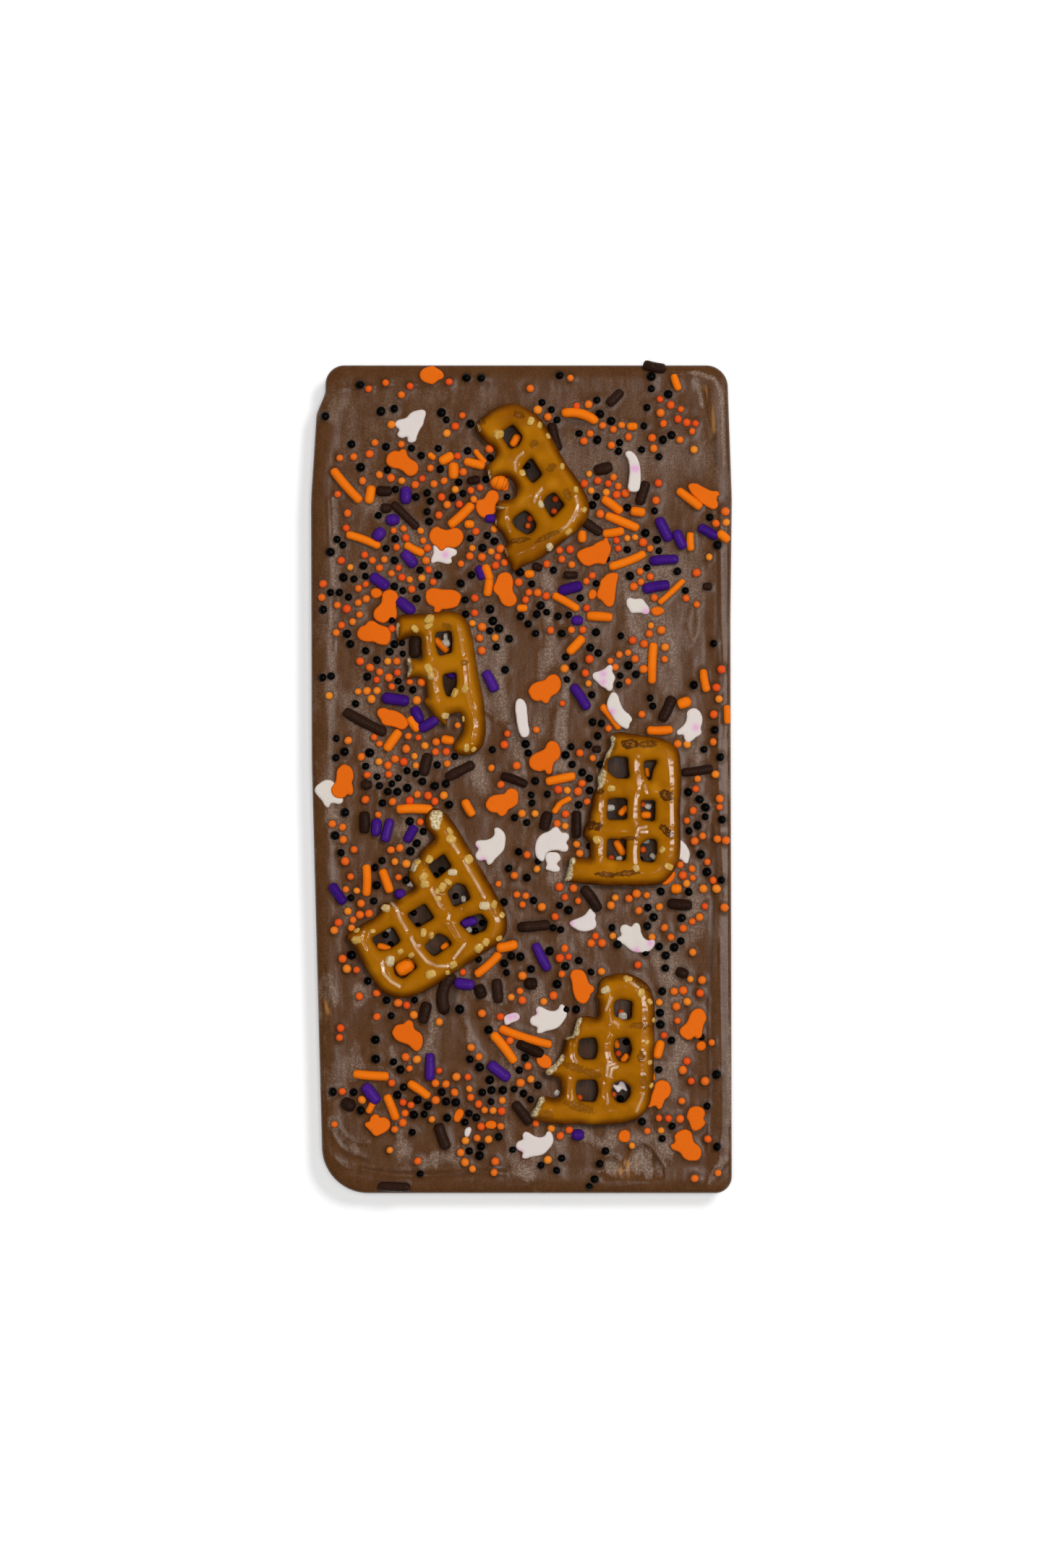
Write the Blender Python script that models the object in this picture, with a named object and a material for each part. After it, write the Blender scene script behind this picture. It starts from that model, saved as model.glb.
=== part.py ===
"""Chocolate pretzel bark: a moulded bar of milk chocolate, poured side up, with pieces of waffle
pretzel pressed into it and sugar sprinkles set in its face.

Metres, +Z up. The bar lies flat with its long side along Y, and its underside is at z = 0.
Places read from the photograph are in its pixels, x to the right and y down, and place() turns
them into metres on the bar.
"""
import math
import random

import bmesh
import bpy
from mathutils import Matrix, Vector

# Scale of the photograph, and the place in it that is the bar's middle
PIXEL = 0.00014
PHOTO_MIDDLE = (721.3, 1073.2)

# Driving dimensions in metres
FACE_HEIGHT = 0.0068
LIP_HEIGHT = 0.0072
SIDE_DRAFT = 0.0013
PRETZEL_SUNK = 0.0009
PRETZEL_BOTTOM = FACE_HEIGHT - PRETZEL_SUNK
STRAND_CUT = 0.0003
GAP = 0.0003
DROP_THICKNESS = 0.0011
SALT_SIZE = 0.0013

# How much of a sprinkle's height is below the face, and of a strand's natural end is rounded
SPRINKLE_SUNK = 0.38
END_ROUND = 0.4
END_TAPER = 0.6

# Sizes in pixels: bead widths, room left beside a pretzel, the least corner radius, the shortest
# stick in the solid, and the least length of a whole drop
BEAD_SIZES = (9.6, 12.4)
CLEARANCE = 4
CORNER_LEAST = 8
SHORTEST_STICK = 19
LEAST_WHOLE = 30

# One bead in this many is in the solid, and how often a place for a bead or a drop is tried
BEADS_KEPT = 16
BEAD_TRIES = 40
DROP_MOVES = 8

# A pumpkin drop: points round it, the stem's half width and rise, and how far it narrows between
# its lobes
PUMPKIN_POINTS = 12
STEM = (0.07, 0.62)
WAIST = 0.15

# Corners of the bar's outline, clockwise from the top left: x, y and the radius of the round.
# The last one turns inwards, where the chocolate ran over the mould's edge.
BAR_CORNERS = (
    (450.5, 505.5, 26), (1005, 505.5, 30), (1011.8, 660, 900), (1011.8, 1649.3, 23),
    (446.5, 1649.3, 64), (431, 900, 1500), (430.5, 690, 500), (437.5, 572, 30), (450.4, 543, 12),
)
# The bar's rings from the underside up to the poured face: inset from the outline, height
BAR_RINGS = (
    (0.0024, 0.0), (SIDE_DRAFT, 0.0010), (0.0, 0.0060), (0.0006, 0.0068),
    (0.0026, LIP_HEIGHT), (0.0046, FACE_HEIGHT),
)

# Height of each kind of strand above the pretzel's flat underside
STRAND_HEIGHTS = {"rim": 0.0040, "cross": 0.0036, "over": 0.0042}

# Each pretzel piece is its strands: kind, width in pixels, whether the start and the end are
# broken off, and the points along the middle
PRETZELS = {
    "pretzel_top": (
        ("rim", 32, (False, True), (
            (676, 586), (700, 577), (722, 581), (739, 598), (757, 624), (776, 652), (794, 682),
            (796, 702), (785, 720), (757, 740))),
        ("rim", 34, (True, False), ((709, 766), (740, 753), (772, 734))),
        ("cross", 27, (True, False), ((684, 648), (722, 628), (752, 610))),
        ("cross", 28, (True, False), ((693, 704), (712, 697), (751, 674), (780, 660))),
        ("over", 22, (False, False), ((678, 594), (693, 619), (714, 657), (746, 712), (757, 732))),
        ("over", 24, (False, False), ((693, 706), (696, 724), (706, 744))),
    ),
    "pretzel_left": (
        ("rim", 28, (True, False), (
            (551, 868), (590, 863), (618, 860), (636, 869), (642, 892), (645, 935), (651, 975),
            (657, 1003), (652, 1021), (640, 1030))),
        ("cross", 26, (True, False), ((565, 925), (600, 920), (640, 918))),
        ("cross", 25, (True, False), ((600, 976), (625, 974), (652, 972))),
        ("cross", 14, (False, False), ((594, 968), (613, 996))),
        ("over", 19, (False, False), ((589, 868), (596, 915), (603, 968))),
    ),
    "pretzel_right": (
        ("rim", 32, (True, False), (
            (848, 1030), (880, 1031), (904, 1035), (920, 1048), (924, 1075), (923, 1120), (923, 1165),
            (920, 1190), (905, 1207), (870, 1209), (784, 1204))),
        ("cross", 25, (True, False), ((836, 1091), (870, 1091), (915, 1095))),
        ("cross", 27, (False, False), ((815, 1147), (860, 1147), (920, 1149))),
        ("over", 21, (True, False), ((837, 1096), (829, 1115), (827, 1160), (827, 1200))),
        ("over", 21, (False, False), ((879, 1036), (878, 1070), (875, 1120), (875, 1165), (874, 1204))),
        ("over", 12, (False, False), ((846, 1040), (836, 1062), (835, 1090))),
    ),
    "pretzel_lower_left": (
        ("rim", 29, (True, False), (
            (601, 1133), (627, 1172), (655, 1216), (680, 1256), (684, 1275), (674, 1294), (650, 1314),
            (615, 1335), (580, 1355), (556, 1363), (540, 1354), (520, 1327), (498, 1292))),
        ("cross", 27, (True, False), ((583, 1207), (608, 1251), (630, 1291), (642, 1312))),
        ("cross", 26, (True, False), ((533, 1256), (557, 1284), (583, 1322), (598, 1340))),
        ("over", 24, (False, True), ((628, 1166), (602, 1181), (584, 1198))),
        ("over", 22, (False, False), (
            (652, 1203), (620, 1219), (590, 1234), (555, 1250), (525, 1268), (500, 1289))),
        ("over", 20, (False, False), ((674, 1242), (644, 1258), (594, 1286), (546, 1318), (524, 1330))),
    ),
    "pretzel_lower_right": (
        ("rim", 30, (True, False), (
            (843, 1364), (865, 1364), (881, 1371), (888, 1390), (889, 1430), (889, 1485), (885, 1512),
            (872, 1530), (850, 1538), (800, 1538), (748, 1535))),
        ("cross", 27, (True, False), ((802, 1421), (840, 1421), (885, 1421))),
        ("cross", 27, (True, False), ((762, 1479), (800, 1479), (885, 1479))),
        ("over", 20, (True, False), ((790, 1436), (787, 1480), (786, 1534))),
        ("over", 20, (False, False), ((838, 1368), (838, 1420), (837, 1470), (835, 1534))),
    ),
}
# The largest salt grains of each piece: x and y
SALT = {
    "pretzel_top": ((691, 604), (761, 757)),
    "pretzel_left": ((595, 858), (596, 930)),
    "pretzel_right": ((826, 1161), (921, 1197)),
    "pretzel_lower_left": ((624, 1156), (590, 1209), (672, 1252)),
    "pretzel_lower_right": ((837, 1368), (885, 1373)),
}

# Sprinkles: middle x and y, turn in degrees clockwise from the x axis, length, width
ORANGE_STICKS = (
    (480, 671, 49, 60, 13), (512, 684, 100, 26, 14), (617, 634, -30, 22, 14), (597, 631, 40, 12, 9),
    (627, 651, 90, 23, 15), (786, 571, -8, 26, 13), (812, 577, 32, 26, 13), (656, 641, 15, 30, 13),
    (664, 631, 50, 24, 8), (935, 529, 70, 24, 11), (953, 690, 38, 42, 13), (846, 699, 36, 34, 13),
    (874, 590, 0, 15, 12), (502, 748, 20, 50, 12), (573, 759, 27, 30, 12), (637, 712, -43, 45, 14),
    (674, 792, 70, 24, 13), (675, 812, 98, 26, 13), (782, 833, 30, 42, 12), (796, 892, -47, 32, 14),
    (829, 853, 4, 36, 14), (860, 722, 22, 50, 13), (848, 736, -8, 30, 13), (882, 708, 10, 21, 14),
    (955, 749, 88, 26, 11), (1000, 742, 40, 20, 13), (867, 774, -21, 54, 13), (543, 1024, -55, 34, 14),
    (775, 1077, -12, 42, 13), (903, 917, 92, 57, 13), (975, 941, 80, 32, 12), (946, 972, -20, 20, 16),
    (912, 1009, -2, 36, 13), (649, 725, 0, 14, 12), (805, 742, 90, 17, 13), (732, 794, 0, 14, 12),
    (722, 841, 0, 15, 11), (572, 1001, 55, 24, 13), (619, 1023, 10, 18, 13), (573, 1120, 0, 50, 14),
    (506, 1217, 90, 44, 13), (534, 1218, 70, 35, 13), (648, 1117, 60, 26, 13), (770, 1117, -55, 18, 9),
    (781, 1108, -28, 20, 9), (701, 1308, -12, 30, 15), (674, 1333, -42, 46, 13),
    (727, 1432, 18, 76, 13), (696, 1449, 52, 52, 14), (911, 1451, 105, 26, 14), (513, 1486, 4, 50, 14),
    (579, 1507, 35, 36, 13), (541, 1531, 68, 38, 13), (513, 1530, 118, 20, 10), (844, 992, 50, 42, 9),
    (928, 818, -43, 48, 9),
)
PURPLE_STICKS = (
    (561, 685, 90, 24, 16), (543, 719, 0, 19, 16), (524, 739, -50, 20, 17), (566, 773, 50, 27, 16),
    (525, 804, 35, 30, 16), (561, 838, 40, 30, 16), (678, 717, 0, 15, 13), (664, 792, 70, 20, 12),
    (789, 814, -15, 34, 15), (798, 858, 0, 16, 14), (918, 732, 63, 36, 15), (940, 746, 65, 28, 15),
    (979, 736, 30, 30, 14), (918, 775, -4, 40, 14), (907, 812, -10, 38, 15), (547, 967, 8, 38, 16),
    (577, 988, 65, 24, 15), (592, 1001, -30, 30, 15), (678, 942, 63, 32, 15), (802, 964, 57, 40, 14),
    (520, 1144, 95, 24, 15), (536, 1148, 105, 33, 14), (568, 1153, -60, 26, 14),
    (467, 1236, 55, 33, 14), (553, 1236, 0, 15, 14), (649, 1275, -12, 22, 13), (594, 1475, 90, 38, 14),
    (749, 1323, 63, 42, 14), (642, 1360, 8, 28, 16), (690, 1481, 38, 36, 16), (513, 1512, 52, 32, 17),
    (799, 1569, 0, 17, 16),
)
BROWN_STICKS = (
    (531, 679, 0, 22, 14), (534, 703, 0, 15, 14), (560, 713, 44, 50, 12), (768, 604, 75, 40, 13),
    (834, 648, -15, 26, 16), (850, 550, -45, 28, 13), (905, 507, 12, 32, 14), (889, 682, -72, 34, 14),
    (818, 728, 35, 34, 14), (505, 998, 28, 66, 15), (507, 1085, 0, 15, 14), (589, 1057, 105, 32, 15),
    (636, 1066, -27, 44, 14), (711, 1079, 20, 38, 13), (922, 980, 115, 38, 15), (964, 1065, -8, 43, 13),
    (504, 1137, 90, 30, 15), (755, 1135, 105, 27, 16), (797, 1140, 90, 38, 14), (738, 1280, -5, 45, 15),
    (817, 1243, 55, 40, 15), (940, 1250, 5, 34, 15), (588, 1400, 102, 30, 15), (618, 1360, 112, 30, 14),
    (616, 1386, 82, 32, 14), (664, 1371, 70, 20, 17), (688, 1370, 85, 34, 15), (734, 1360, 0, 18, 17),
    (733, 1450, 25, 40, 15), (943, 1345, 20, 18, 14), (482, 1527, 30, 20, 17), (612, 1571, 70, 38, 15),
    (545, 1641, 2, 44, 13), (722, 1539, 52, 38, 14), (789, 795, 0, 20, 11), (930, 881, 0, 17, 13),
)
# Pumpkin sugar drops: middle x and y, turn of the long axis with the stem on its upper side,
# length, width
PUMPKINS = (
    (597, 520, 180, 33, 25), (555, 640, 35, 48, 27), (670, 702, 118, 44, 26), (971, 687, 40, 48, 22),
    (617, 744, 180, 48, 30), (533, 838, 128, 48, 27), (517, 876, 10, 48, 26), (612, 826, 183, 50, 26),
    (698, 815, -102, 48, 27), (821, 765, -20, 50, 29), (841, 816, -75, 50, 26), (541, 994, 30, 48, 20),
    (474, 1081, 112, 48, 28), (754, 950, 155, 50, 28), (753, 1046, 140, 52, 27),
    (695, 1106, 158, 50, 28), (565, 1430, 32, 50, 28), (804, 1364, 85, 48, 27),
    (957, 1416, 128, 50, 28), (914, 1510, 130, 46, 26), (948, 1583, -112, 50, 30),
    (963, 1546, 90, 36, 26), (522, 1557, 0, 38, 28), (752, 1467, 40, 22, 20), (863, 1571, 0, 19, 18),
    (679, 1555, 0, 16, 14), (634, 1542, -60, 21, 14), (969, 1446, 0, 15, 14), (909, 845, 0, 18, 14),
    (520, 820, 0, 17, 16),
)
# Ghost sugar drops: middle x and y, turn clockwise from tail up, length
GHOSTS = (
    (567, 590, 50, 48), (874, 653, 20, 46), (612, 769, 20, 34), (881, 838, 110, 34), (722, 992, 20, 46),
    (835, 937, 160, 34), (857, 983, -20, 48), (954, 1004, 15, 46), (452, 1098, 200, 38),
    (678, 1170, 0, 56), (762, 1166, 180, 54), (806, 1273, 120, 40), (879, 1297, 106, 54),
    (758, 1407, 35, 54), (739, 1581, 35, 56), (765, 1192, 100, 30), (708, 1408, 90, 22),
    (646, 1565, 10, 17),
)
# Outline of a ghost drop, tail up, in its own lengths
GHOST_OUTLINE = (
    (-0.08, -0.50), (0.08, -0.50), (0.24, -0.34), (0.32, -0.06), (0.24, 0.22), (0.10, 0.50),
    (-0.06, 0.36), (-0.22, 0.44), (-0.30, 0.24), (-0.46, 0.18), (-0.44, 0.02), (-0.22, -0.08),
    (-0.12, -0.24),
)

# Where the small beads lie: middle x and y, reach, number of orange ones, number of black ones
BEAD_DRIFTS = (
    (540, 545, 45, 4, 3), (625, 590, 26, 3, 3), (450, 574, 4, 0, 1), (492, 640, 28, 4, 2),
    (545, 612, 30, 3, 2), (555, 665, 30, 5, 5), (605, 665, 30, 6, 8), (495, 700, 35, 3, 0),
    (438, 687, 3, 0, 1), (638, 672, 30, 8, 0), (650, 530, 30, 1, 2), (735, 535, 4, 1, 0),
    (786, 517, 10, 1, 1), (668, 655, 20, 1, 4), (750, 580, 18, 2, 3), (815, 580, 30, 5, 5),
    (817, 676, 24, 4, 1), (903, 530, 14, 0, 2), (918, 568, 24, 6, 2), (956, 603, 22, 5, 0),
    (850, 600, 24, 4, 2), (905, 608, 26, 2, 5), (860, 675, 26, 6, 3), (902, 685, 20, 2, 1),
    (1000, 715, 18, 3, 1), (478, 768, 30, 3, 5), (468, 825, 30, 6, 4), (503, 832, 22, 4, 2),
    (478, 875, 18, 2, 2), (560, 738, 28, 6, 4), (527, 778, 26, 6, 1), (587, 757, 20, 5, 0),
    (583, 808, 26, 4, 8), (630, 795, 28, 1, 2), (543, 875, 16, 1, 3), (660, 737, 20, 1, 4),
    (683, 756, 20, 7, 0), (656, 765, 8, 2, 0), (708, 800, 22, 2, 2), (746, 845, 32, 4, 7),
    (648, 845, 22, 3, 2), (672, 880, 26, 4, 6), (775, 775, 22, 5, 1), (806, 802, 20, 2, 2),
    (800, 860, 35, 3, 3), (840, 735, 24, 3, 3), (868, 752, 22, 4, 4), (890, 792, 26, 4, 3),
    (950, 808, 28, 3, 2), (903, 827, 10, 2, 0), (907, 870, 14, 3, 0), (850, 895, 24, 3, 1),
    (895, 905, 26, 6, 1), (973, 762, 26, 1, 1), (989, 893, 4, 0, 1), (509, 918, 20, 2, 3),
    (530, 950, 22, 5, 1), (500, 961, 14, 3, 1), (450, 950, 22, 1, 2), (555, 922, 18, 4, 2),
    (573, 952, 24, 2, 3), (530, 985, 24, 1, 1), (560, 1030, 26, 10, 0), (500, 1045, 38, 3, 6),
    (532, 1068, 18, 2, 1), (566, 1065, 24, 0, 4), (534, 1088, 12, 0, 3), (612, 1042, 18, 4, 2),
    (606, 1072, 22, 0, 2), (582, 1095, 22, 5, 0), (735, 950, 60, 3, 1), (806, 914, 24, 2, 5),
    (815, 953, 10, 1, 1), (700, 1045, 32, 3, 3), (690, 1072, 14, 2, 0), (738, 1090, 26, 0, 3),
    (806, 1052, 26, 2, 7), (785, 1085, 24, 4, 3), (862, 930, 16, 2, 3), (985, 950, 30, 3, 1),
    (900, 985, 20, 1, 2), (836, 1005, 16, 1, 3), (935, 1024, 16, 2, 1), (985, 1010, 28, 2, 2),
    (1000, 1060, 22, 1, 1), (946, 1080, 24, 2, 1), (985, 1105, 20, 2, 2), (503, 1109, 5, 1, 0),
    (573, 1108, 28, 1, 4), (555, 1137, 30, 2, 1), (474, 1142, 20, 2, 2), (479, 1175, 18, 3, 1),
    (553, 1177, 24, 3, 2), (545, 1204, 22, 2, 4), (500, 1225, 24, 4, 2), (496, 1260, 24, 6, 1),
    (464, 1282, 5, 1, 0), (722, 1115, 20, 2, 2), (805, 1120, 22, 4, 1), (781, 1131, 16, 1, 2),
    (725, 1172, 12, 1, 1), (785, 1180, 18, 2, 0), (744, 1200, 12, 1, 1), (718, 1219, 24, 2, 2),
    (731, 1250, 20, 3, 1), (765, 1250, 24, 2, 1), (788, 1237, 18, 3, 1), (688, 1235, 16, 1, 1),
    (775, 1285, 12, 0, 2), (970, 1125, 28, 1, 4), (950, 1150, 16, 3, 0), (996, 1152, 12, 2, 0),
    (960, 1200, 24, 6, 2), (980, 1220, 18, 3, 1), (940, 1215, 18, 1, 2), (955, 1255, 20, 3, 1),
    (908, 1260, 20, 1, 2), (895, 1243, 26, 4, 0), (845, 1240, 24, 2, 0), (938, 1282, 24, 3, 0),
    (1000, 1257, 6, 1, 0), (487, 1330, 16, 1, 1), (490, 1358, 24, 3, 1), (530, 1395, 24, 2, 0),
    (560, 1398, 20, 3, 3), (466, 1433, 22, 2, 0), (520, 1441, 5, 0, 1), (562, 1466, 16, 3, 0),
    (520, 1478, 50, 0, 2), (622, 1400, 20, 1, 1), (650, 1333, 20, 1, 2), (712, 1335, 22, 1, 5),
    (752, 1385, 16, 2, 0), (720, 1388, 24, 3, 0), (668, 1397, 6, 1, 0), (683, 1418, 16, 1, 1),
    (668, 1446, 18, 2, 0), (710, 1442, 10, 2, 0), (659, 1463, 10, 0, 2), (715, 1476, 30, 2, 2),
    (780, 1335, 24, 4, 4), (812, 1310, 26, 3, 0), (822, 1346, 10, 1, 1), (792, 1390, 12, 0, 2),
    (848, 1300, 12, 1, 2), (895, 1292, 14, 1, 1), (924, 1305, 18, 0, 4), (905, 1335, 28, 1, 2),
    (960, 1338, 24, 3, 0), (954, 1366, 22, 4, 0), (935, 1380, 22, 2, 1), (945, 1399, 10, 1, 0),
    (908, 1399, 6, 0, 1), (928, 1422, 16, 1, 2), (965, 1442, 20, 1, 1), (956, 1470, 8, 1, 0),
    (975, 1485, 20, 1, 1), (910, 1482, 6, 0, 1), (552, 1507, 20, 1, 3), (595, 1500, 26, 4, 3),
    (635, 1507, 24, 5, 0), (650, 1527, 24, 2, 7), (680, 1540, 22, 5, 0), (662, 1556, 22, 2, 3),
    (695, 1515, 24, 0, 5), (725, 1510, 20, 1, 2), (587, 1536, 18, 1, 3), (560, 1535, 20, 4, 0),
    (500, 1522, 14, 1, 2), (474, 1532, 26, 2, 1), (548, 1575, 24, 2, 1), (575, 1605, 20, 1, 1),
    (642, 1592, 24, 3, 1), (660, 1612, 34, 3, 0), (706, 1586, 6, 0, 1), (752, 1560, 20, 3, 0),
    (790, 1558, 14, 1, 0), (750, 1604, 12, 1, 1), (778, 1622, 24, 0, 2), (813, 1633, 10, 0, 2),
    (828, 1594, 20, 0, 2), (903, 1555, 18, 3, 1), (925, 1560, 18, 2, 2), (940, 1498, 20, 2, 0),
    (934, 1524, 10, 1, 0), (975, 1527, 8, 0, 1), (972, 1580, 18, 1, 1), (974, 1617, 20, 2, 0),
    (872, 1579, 6, 1, 0),
)


def place(x, y, z=0.0):
    """A place in metres from a place in the photograph."""
    return Vector(((x - PHOTO_MIDDLE[0]) * PIXEL, (PHOTO_MIDDLE[1] - y) * PIXEL, z))


def material(name, colour, roughness):
    """A plain Principled material."""
    made = bpy.data.materials.new(name)
    made.use_nodes = True
    shader = made.node_tree.nodes["Principled BSDF"]
    shader.inputs["Base Color"].default_value = (*colour, 1.0)
    shader.inputs["Roughness"].default_value = roughness
    return made


def collection(name, parent):
    """A new collection below another."""
    made = bpy.data.collections.new(name)
    parent.children.link(made)
    return made


def add_mesh(name, mesh, where):
    """A new object in a collection, holding a bmesh, which is freed."""
    bmesh.ops.recalc_face_normals(mesh, faces=mesh.faces)
    data = bpy.data.meshes.new(name)
    mesh.to_mesh(data)
    mesh.free()
    made = bpy.data.objects.new(name, data)
    where.objects.link(made)
    return made


def curve_to_bmesh(curve, where):
    """The welded mesh of a curve, which is removed."""
    holder = bpy.data.objects.new("curve", curve)
    where.objects.link(holder)
    graph = bpy.context.evaluated_depsgraph_get()
    data = bpy.data.meshes.new_from_object(holder.evaluated_get(graph))
    mesh = bmesh.new()
    mesh.from_mesh(data)
    bmesh.ops.remove_doubles(mesh, verts=mesh.verts, dist=0.00001)
    bpy.data.meshes.remove(data)
    bpy.data.objects.remove(holder)
    bpy.data.curves.remove(curve)
    return mesh


def combine(thing, others, operation, solver):
    """Joins a collection's objects to an object, or cuts them from it, then removes them."""
    step = thing.modifiers.new(operation.title(), "BOOLEAN")
    step.operation = operation
    step.operand_type = "COLLECTION"
    step.collection = others
    step.solver = solver
    graph = bpy.context.evaluated_depsgraph_get()
    data = bpy.data.meshes.new_from_object(thing.evaluated_get(graph))
    thing.modifiers.clear()
    old = thing.data
    thing.data = data
    bpy.data.meshes.remove(old)
    for used in list(others.objects):
        bpy.data.objects.remove(used)
    bpy.data.collections.remove(others)


def bar_outline(inset):
    """The bar's outline in pixels, its corners rounded, moved in by an inset in metres."""
    moved = inset / PIXEL
    points = []
    for index, (x, y, radius) in enumerate(BAR_CORNERS):
        corner = Vector((x, y))
        before = (Vector(BAR_CORNERS[index - 1][:2]) - corner).normalized()
        after = (Vector(BAR_CORNERS[(index + 1) % len(BAR_CORNERS)][:2]) - corner).normalized()
        half = before.angle(after) / 2
        middle = (before + after).normalized()
        turns_out = after.cross(before) > 0
        if turns_out:
            corner += middle * moved / math.sin(half)
            radius = max(radius - moved, CORNER_LEAST)
        else:
            corner -= middle * moved / math.sin(half)
        centre = corner + middle * radius / math.sin(half)
        start = corner + before * radius / math.tan(half) - centre
        stop = corner + after * radius / math.tan(half) - centre
        steps = 6 if half < 1.2 else 2
        for step in range(steps + 1):
            part = step / steps
            spoke = (start * (1 - part) + stop * part).normalized()
            points.append(centre + spoke * radius)
    return points


def distance_to_route(here, points):
    """The distance from a place to the nearest stretch between two points of a route."""
    found = []
    for first, second in zip(points, points[1:]):
        start = Vector(first)
        along = Vector(second) - start
        part = max(0.0, min(1.0, (here - start).dot(along) / max(along.length_squared, 1e-9)))
        found.append((here - start - along * part).length)
    return min(found)


def edge_distance(x, y):
    """How far a place lies inside the bar's outline, in metres, below zero outside it."""
    corners = [corner[:2] for corner in BAR_CORNERS]
    corners.append(corners[0])
    is_inside = False
    for (x0, y0), (x1, y1) in zip(corners, corners[1:]):
        if (y0 > y) != (y1 > y) and x < x0 + (y - y0) * (x1 - x0) / (y1 - y0):
            is_inside = not is_inside
    distance = distance_to_route(Vector((x, y)), corners) * PIXEL
    return distance if is_inside else -distance


def face_height(x, y):
    """The height of the poured face at a place, between the bar's rings."""
    inside = edge_distance(x, y)
    for (near, low), (far, high) in zip(BAR_RINGS[2:], BAR_RINGS[3:]):
        if inside < far:
            part = max(0.0, (inside - near) / (far - near))
            return low + (high - low) * part
    return FACE_HEIGHT


def bar(where):
    """The moulded bar: rings of its outline from the underside up to the poured face."""
    mesh = bmesh.new()
    rings = []
    for inset, height in BAR_RINGS:
        rings.append([mesh.verts.new(place(*point, height)) for point in bar_outline(inset)])
    for lower, upper in zip(rings, rings[1:]):
        for index in range(len(lower)):
            mesh.faces.new((lower[index - 1], lower[index], upper[index], upper[index - 1]))
    mesh.faces.new(rings[0])
    mesh.faces.new(rings[-1])
    return add_mesh("chocolate_bar", mesh, where)


def strand_heights(kind):
    """The height of a strand's middle line, and half the strand's own height before its underside
    is cut flat."""
    half_height = (STRAND_HEIGHTS[kind] + STRAND_CUT) / 2
    return PRETZEL_BOTTOM - STRAND_CUT + half_height, half_height


def strand(kind, width, broken, points, grow, where):
    """One strand of a pretzel: a tube along its points, narrower at an end that isn't broken off."""
    radius = width * PIXEL / 2 + grow
    route = [(place(*point), 1.0) for point in points]
    for end, is_broken in ((0, broken[0]), (-1, broken[1])):
        outward = (route[end][0] - route[1 if end == 0 else -2][0]).normalized()
        if is_broken:
            route[end] = (route[end][0] + outward * grow, 1.0)
        else:
            tip = (route[end][0] + outward * radius * END_ROUND, END_TAPER)
            route.insert(0 if end == 0 else len(route), tip)
    curve = bpy.data.curves.new("strand", "CURVE")
    curve.dimensions = "3D"
    curve.bevel_depth = radius
    curve.bevel_resolution = 2
    curve.use_fill_caps = True
    spline = curve.splines.new("POLY")
    spline.points.add(len(route) - 1)
    for point, (spot, size) in zip(spline.points, route):
        point.co = (*spot, 1.0)
        point.radius = size
    mesh = curve_to_bmesh(curve, where)
    middle, half_height = strand_heights(kind)
    flatten = Matrix.Diagonal((1, 1, (half_height + grow) / radius, 1))
    bmesh.ops.transform(mesh, matrix=Matrix.Translation((0, 0, middle)) @ flatten, verts=mesh.verts)
    return add_mesh("strand", mesh, where)


def strand_gap(x, y):
    """The distance in pixels from a place to the side of the nearest strand of any pretzel."""
    here = Vector((x, y))
    gaps = []
    for strands in PRETZELS.values():
        for _, width, _, points in strands:
            gaps.append(distance_to_route(here, points) - width / 2)
    return min(gaps)


def strand_top(strands, x, y):
    """The height of a pretzel's upper side at a place."""
    here = Vector((x, y))
    highest = PRETZEL_BOTTOM
    for kind, width, _, points in strands:
        aside = distance_to_route(here, points) / (width / 2)
        if aside < 1:
            middle, half_height = strand_heights(kind)
            highest = max(highest, middle + half_height * math.sqrt(1 - aside * aside))
    return highest


def pretzel(name, grow, where):
    """A pretzel piece of joined strands with a flat underside. Grown by a gap, it is the cutter
    for its own bed in the chocolate."""
    strands = PRETZELS[name]
    joined = collection("strands", where)
    piece = strand(*strands[0], grow, where)
    piece.name = name
    for row in strands[1:]:
        strand(*row, grow, joined)
    if grow == 0:
        for x, y in SALT[name]:
            grain = bmesh.new()
            bmesh.ops.create_icosphere(grain, subdivisions=1, radius=SALT_SIZE / 2)
            turned = Matrix.Rotation(x, 4, "X") @ Matrix.Rotation(y, 4, "Z")
            spot = Matrix.Translation(place(x, y, strand_top(strands, x, y)))
            bmesh.ops.transform(grain, matrix=spot @ turned, verts=grain.verts)
            add_mesh("salt", grain, joined)
    combine(piece, joined, "UNION", "MANIFOLD")
    below = collection("below", where)
    block = bmesh.new()
    bmesh.ops.create_cube(block, size=1.0)
    floor = PRETZEL_BOTTOM - grow
    bmesh.ops.transform(block, matrix=Matrix.Translation((0, 0, floor - 0.5)), verts=block.verts)
    add_mesh("block", block, below)
    combine(piece, below, "DIFFERENCE", "MANIFOLD")
    return piece


def clear_stretch(x, y, turn, length, width):
    """The longest stretch of a stick that is clear of the pretzels, or nothing."""
    along = Vector((math.cos(math.radians(turn)), math.sin(math.radians(turn))))
    half = max(0.0, (length - width) / 2)
    count = int(half / 2) + 2
    best, run = [], []
    for step in range(count):
        spot = Vector((x, y)) + along * half * (2 * step / (count - 1) - 1)
        is_clear = strand_gap(*spot) > width / 2 + CLEARANCE
        run = [*run, spot] if is_clear else []
        best = max(best, run, key=len)
    if not best:
        return None
    return best[0], best[-1]


def sprinkle_capsules(rows):
    """Each sprinkle's footprint: the ends of its middle line and half its width. What would cross
    a pretzel is shortened or skipped."""
    found = []
    for x, y, turn, length, width in rows:
        ends = clear_stretch(x, y, turn, length, width)
        if ends:
            found.append((*ends, width / 2))
    return found


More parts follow.
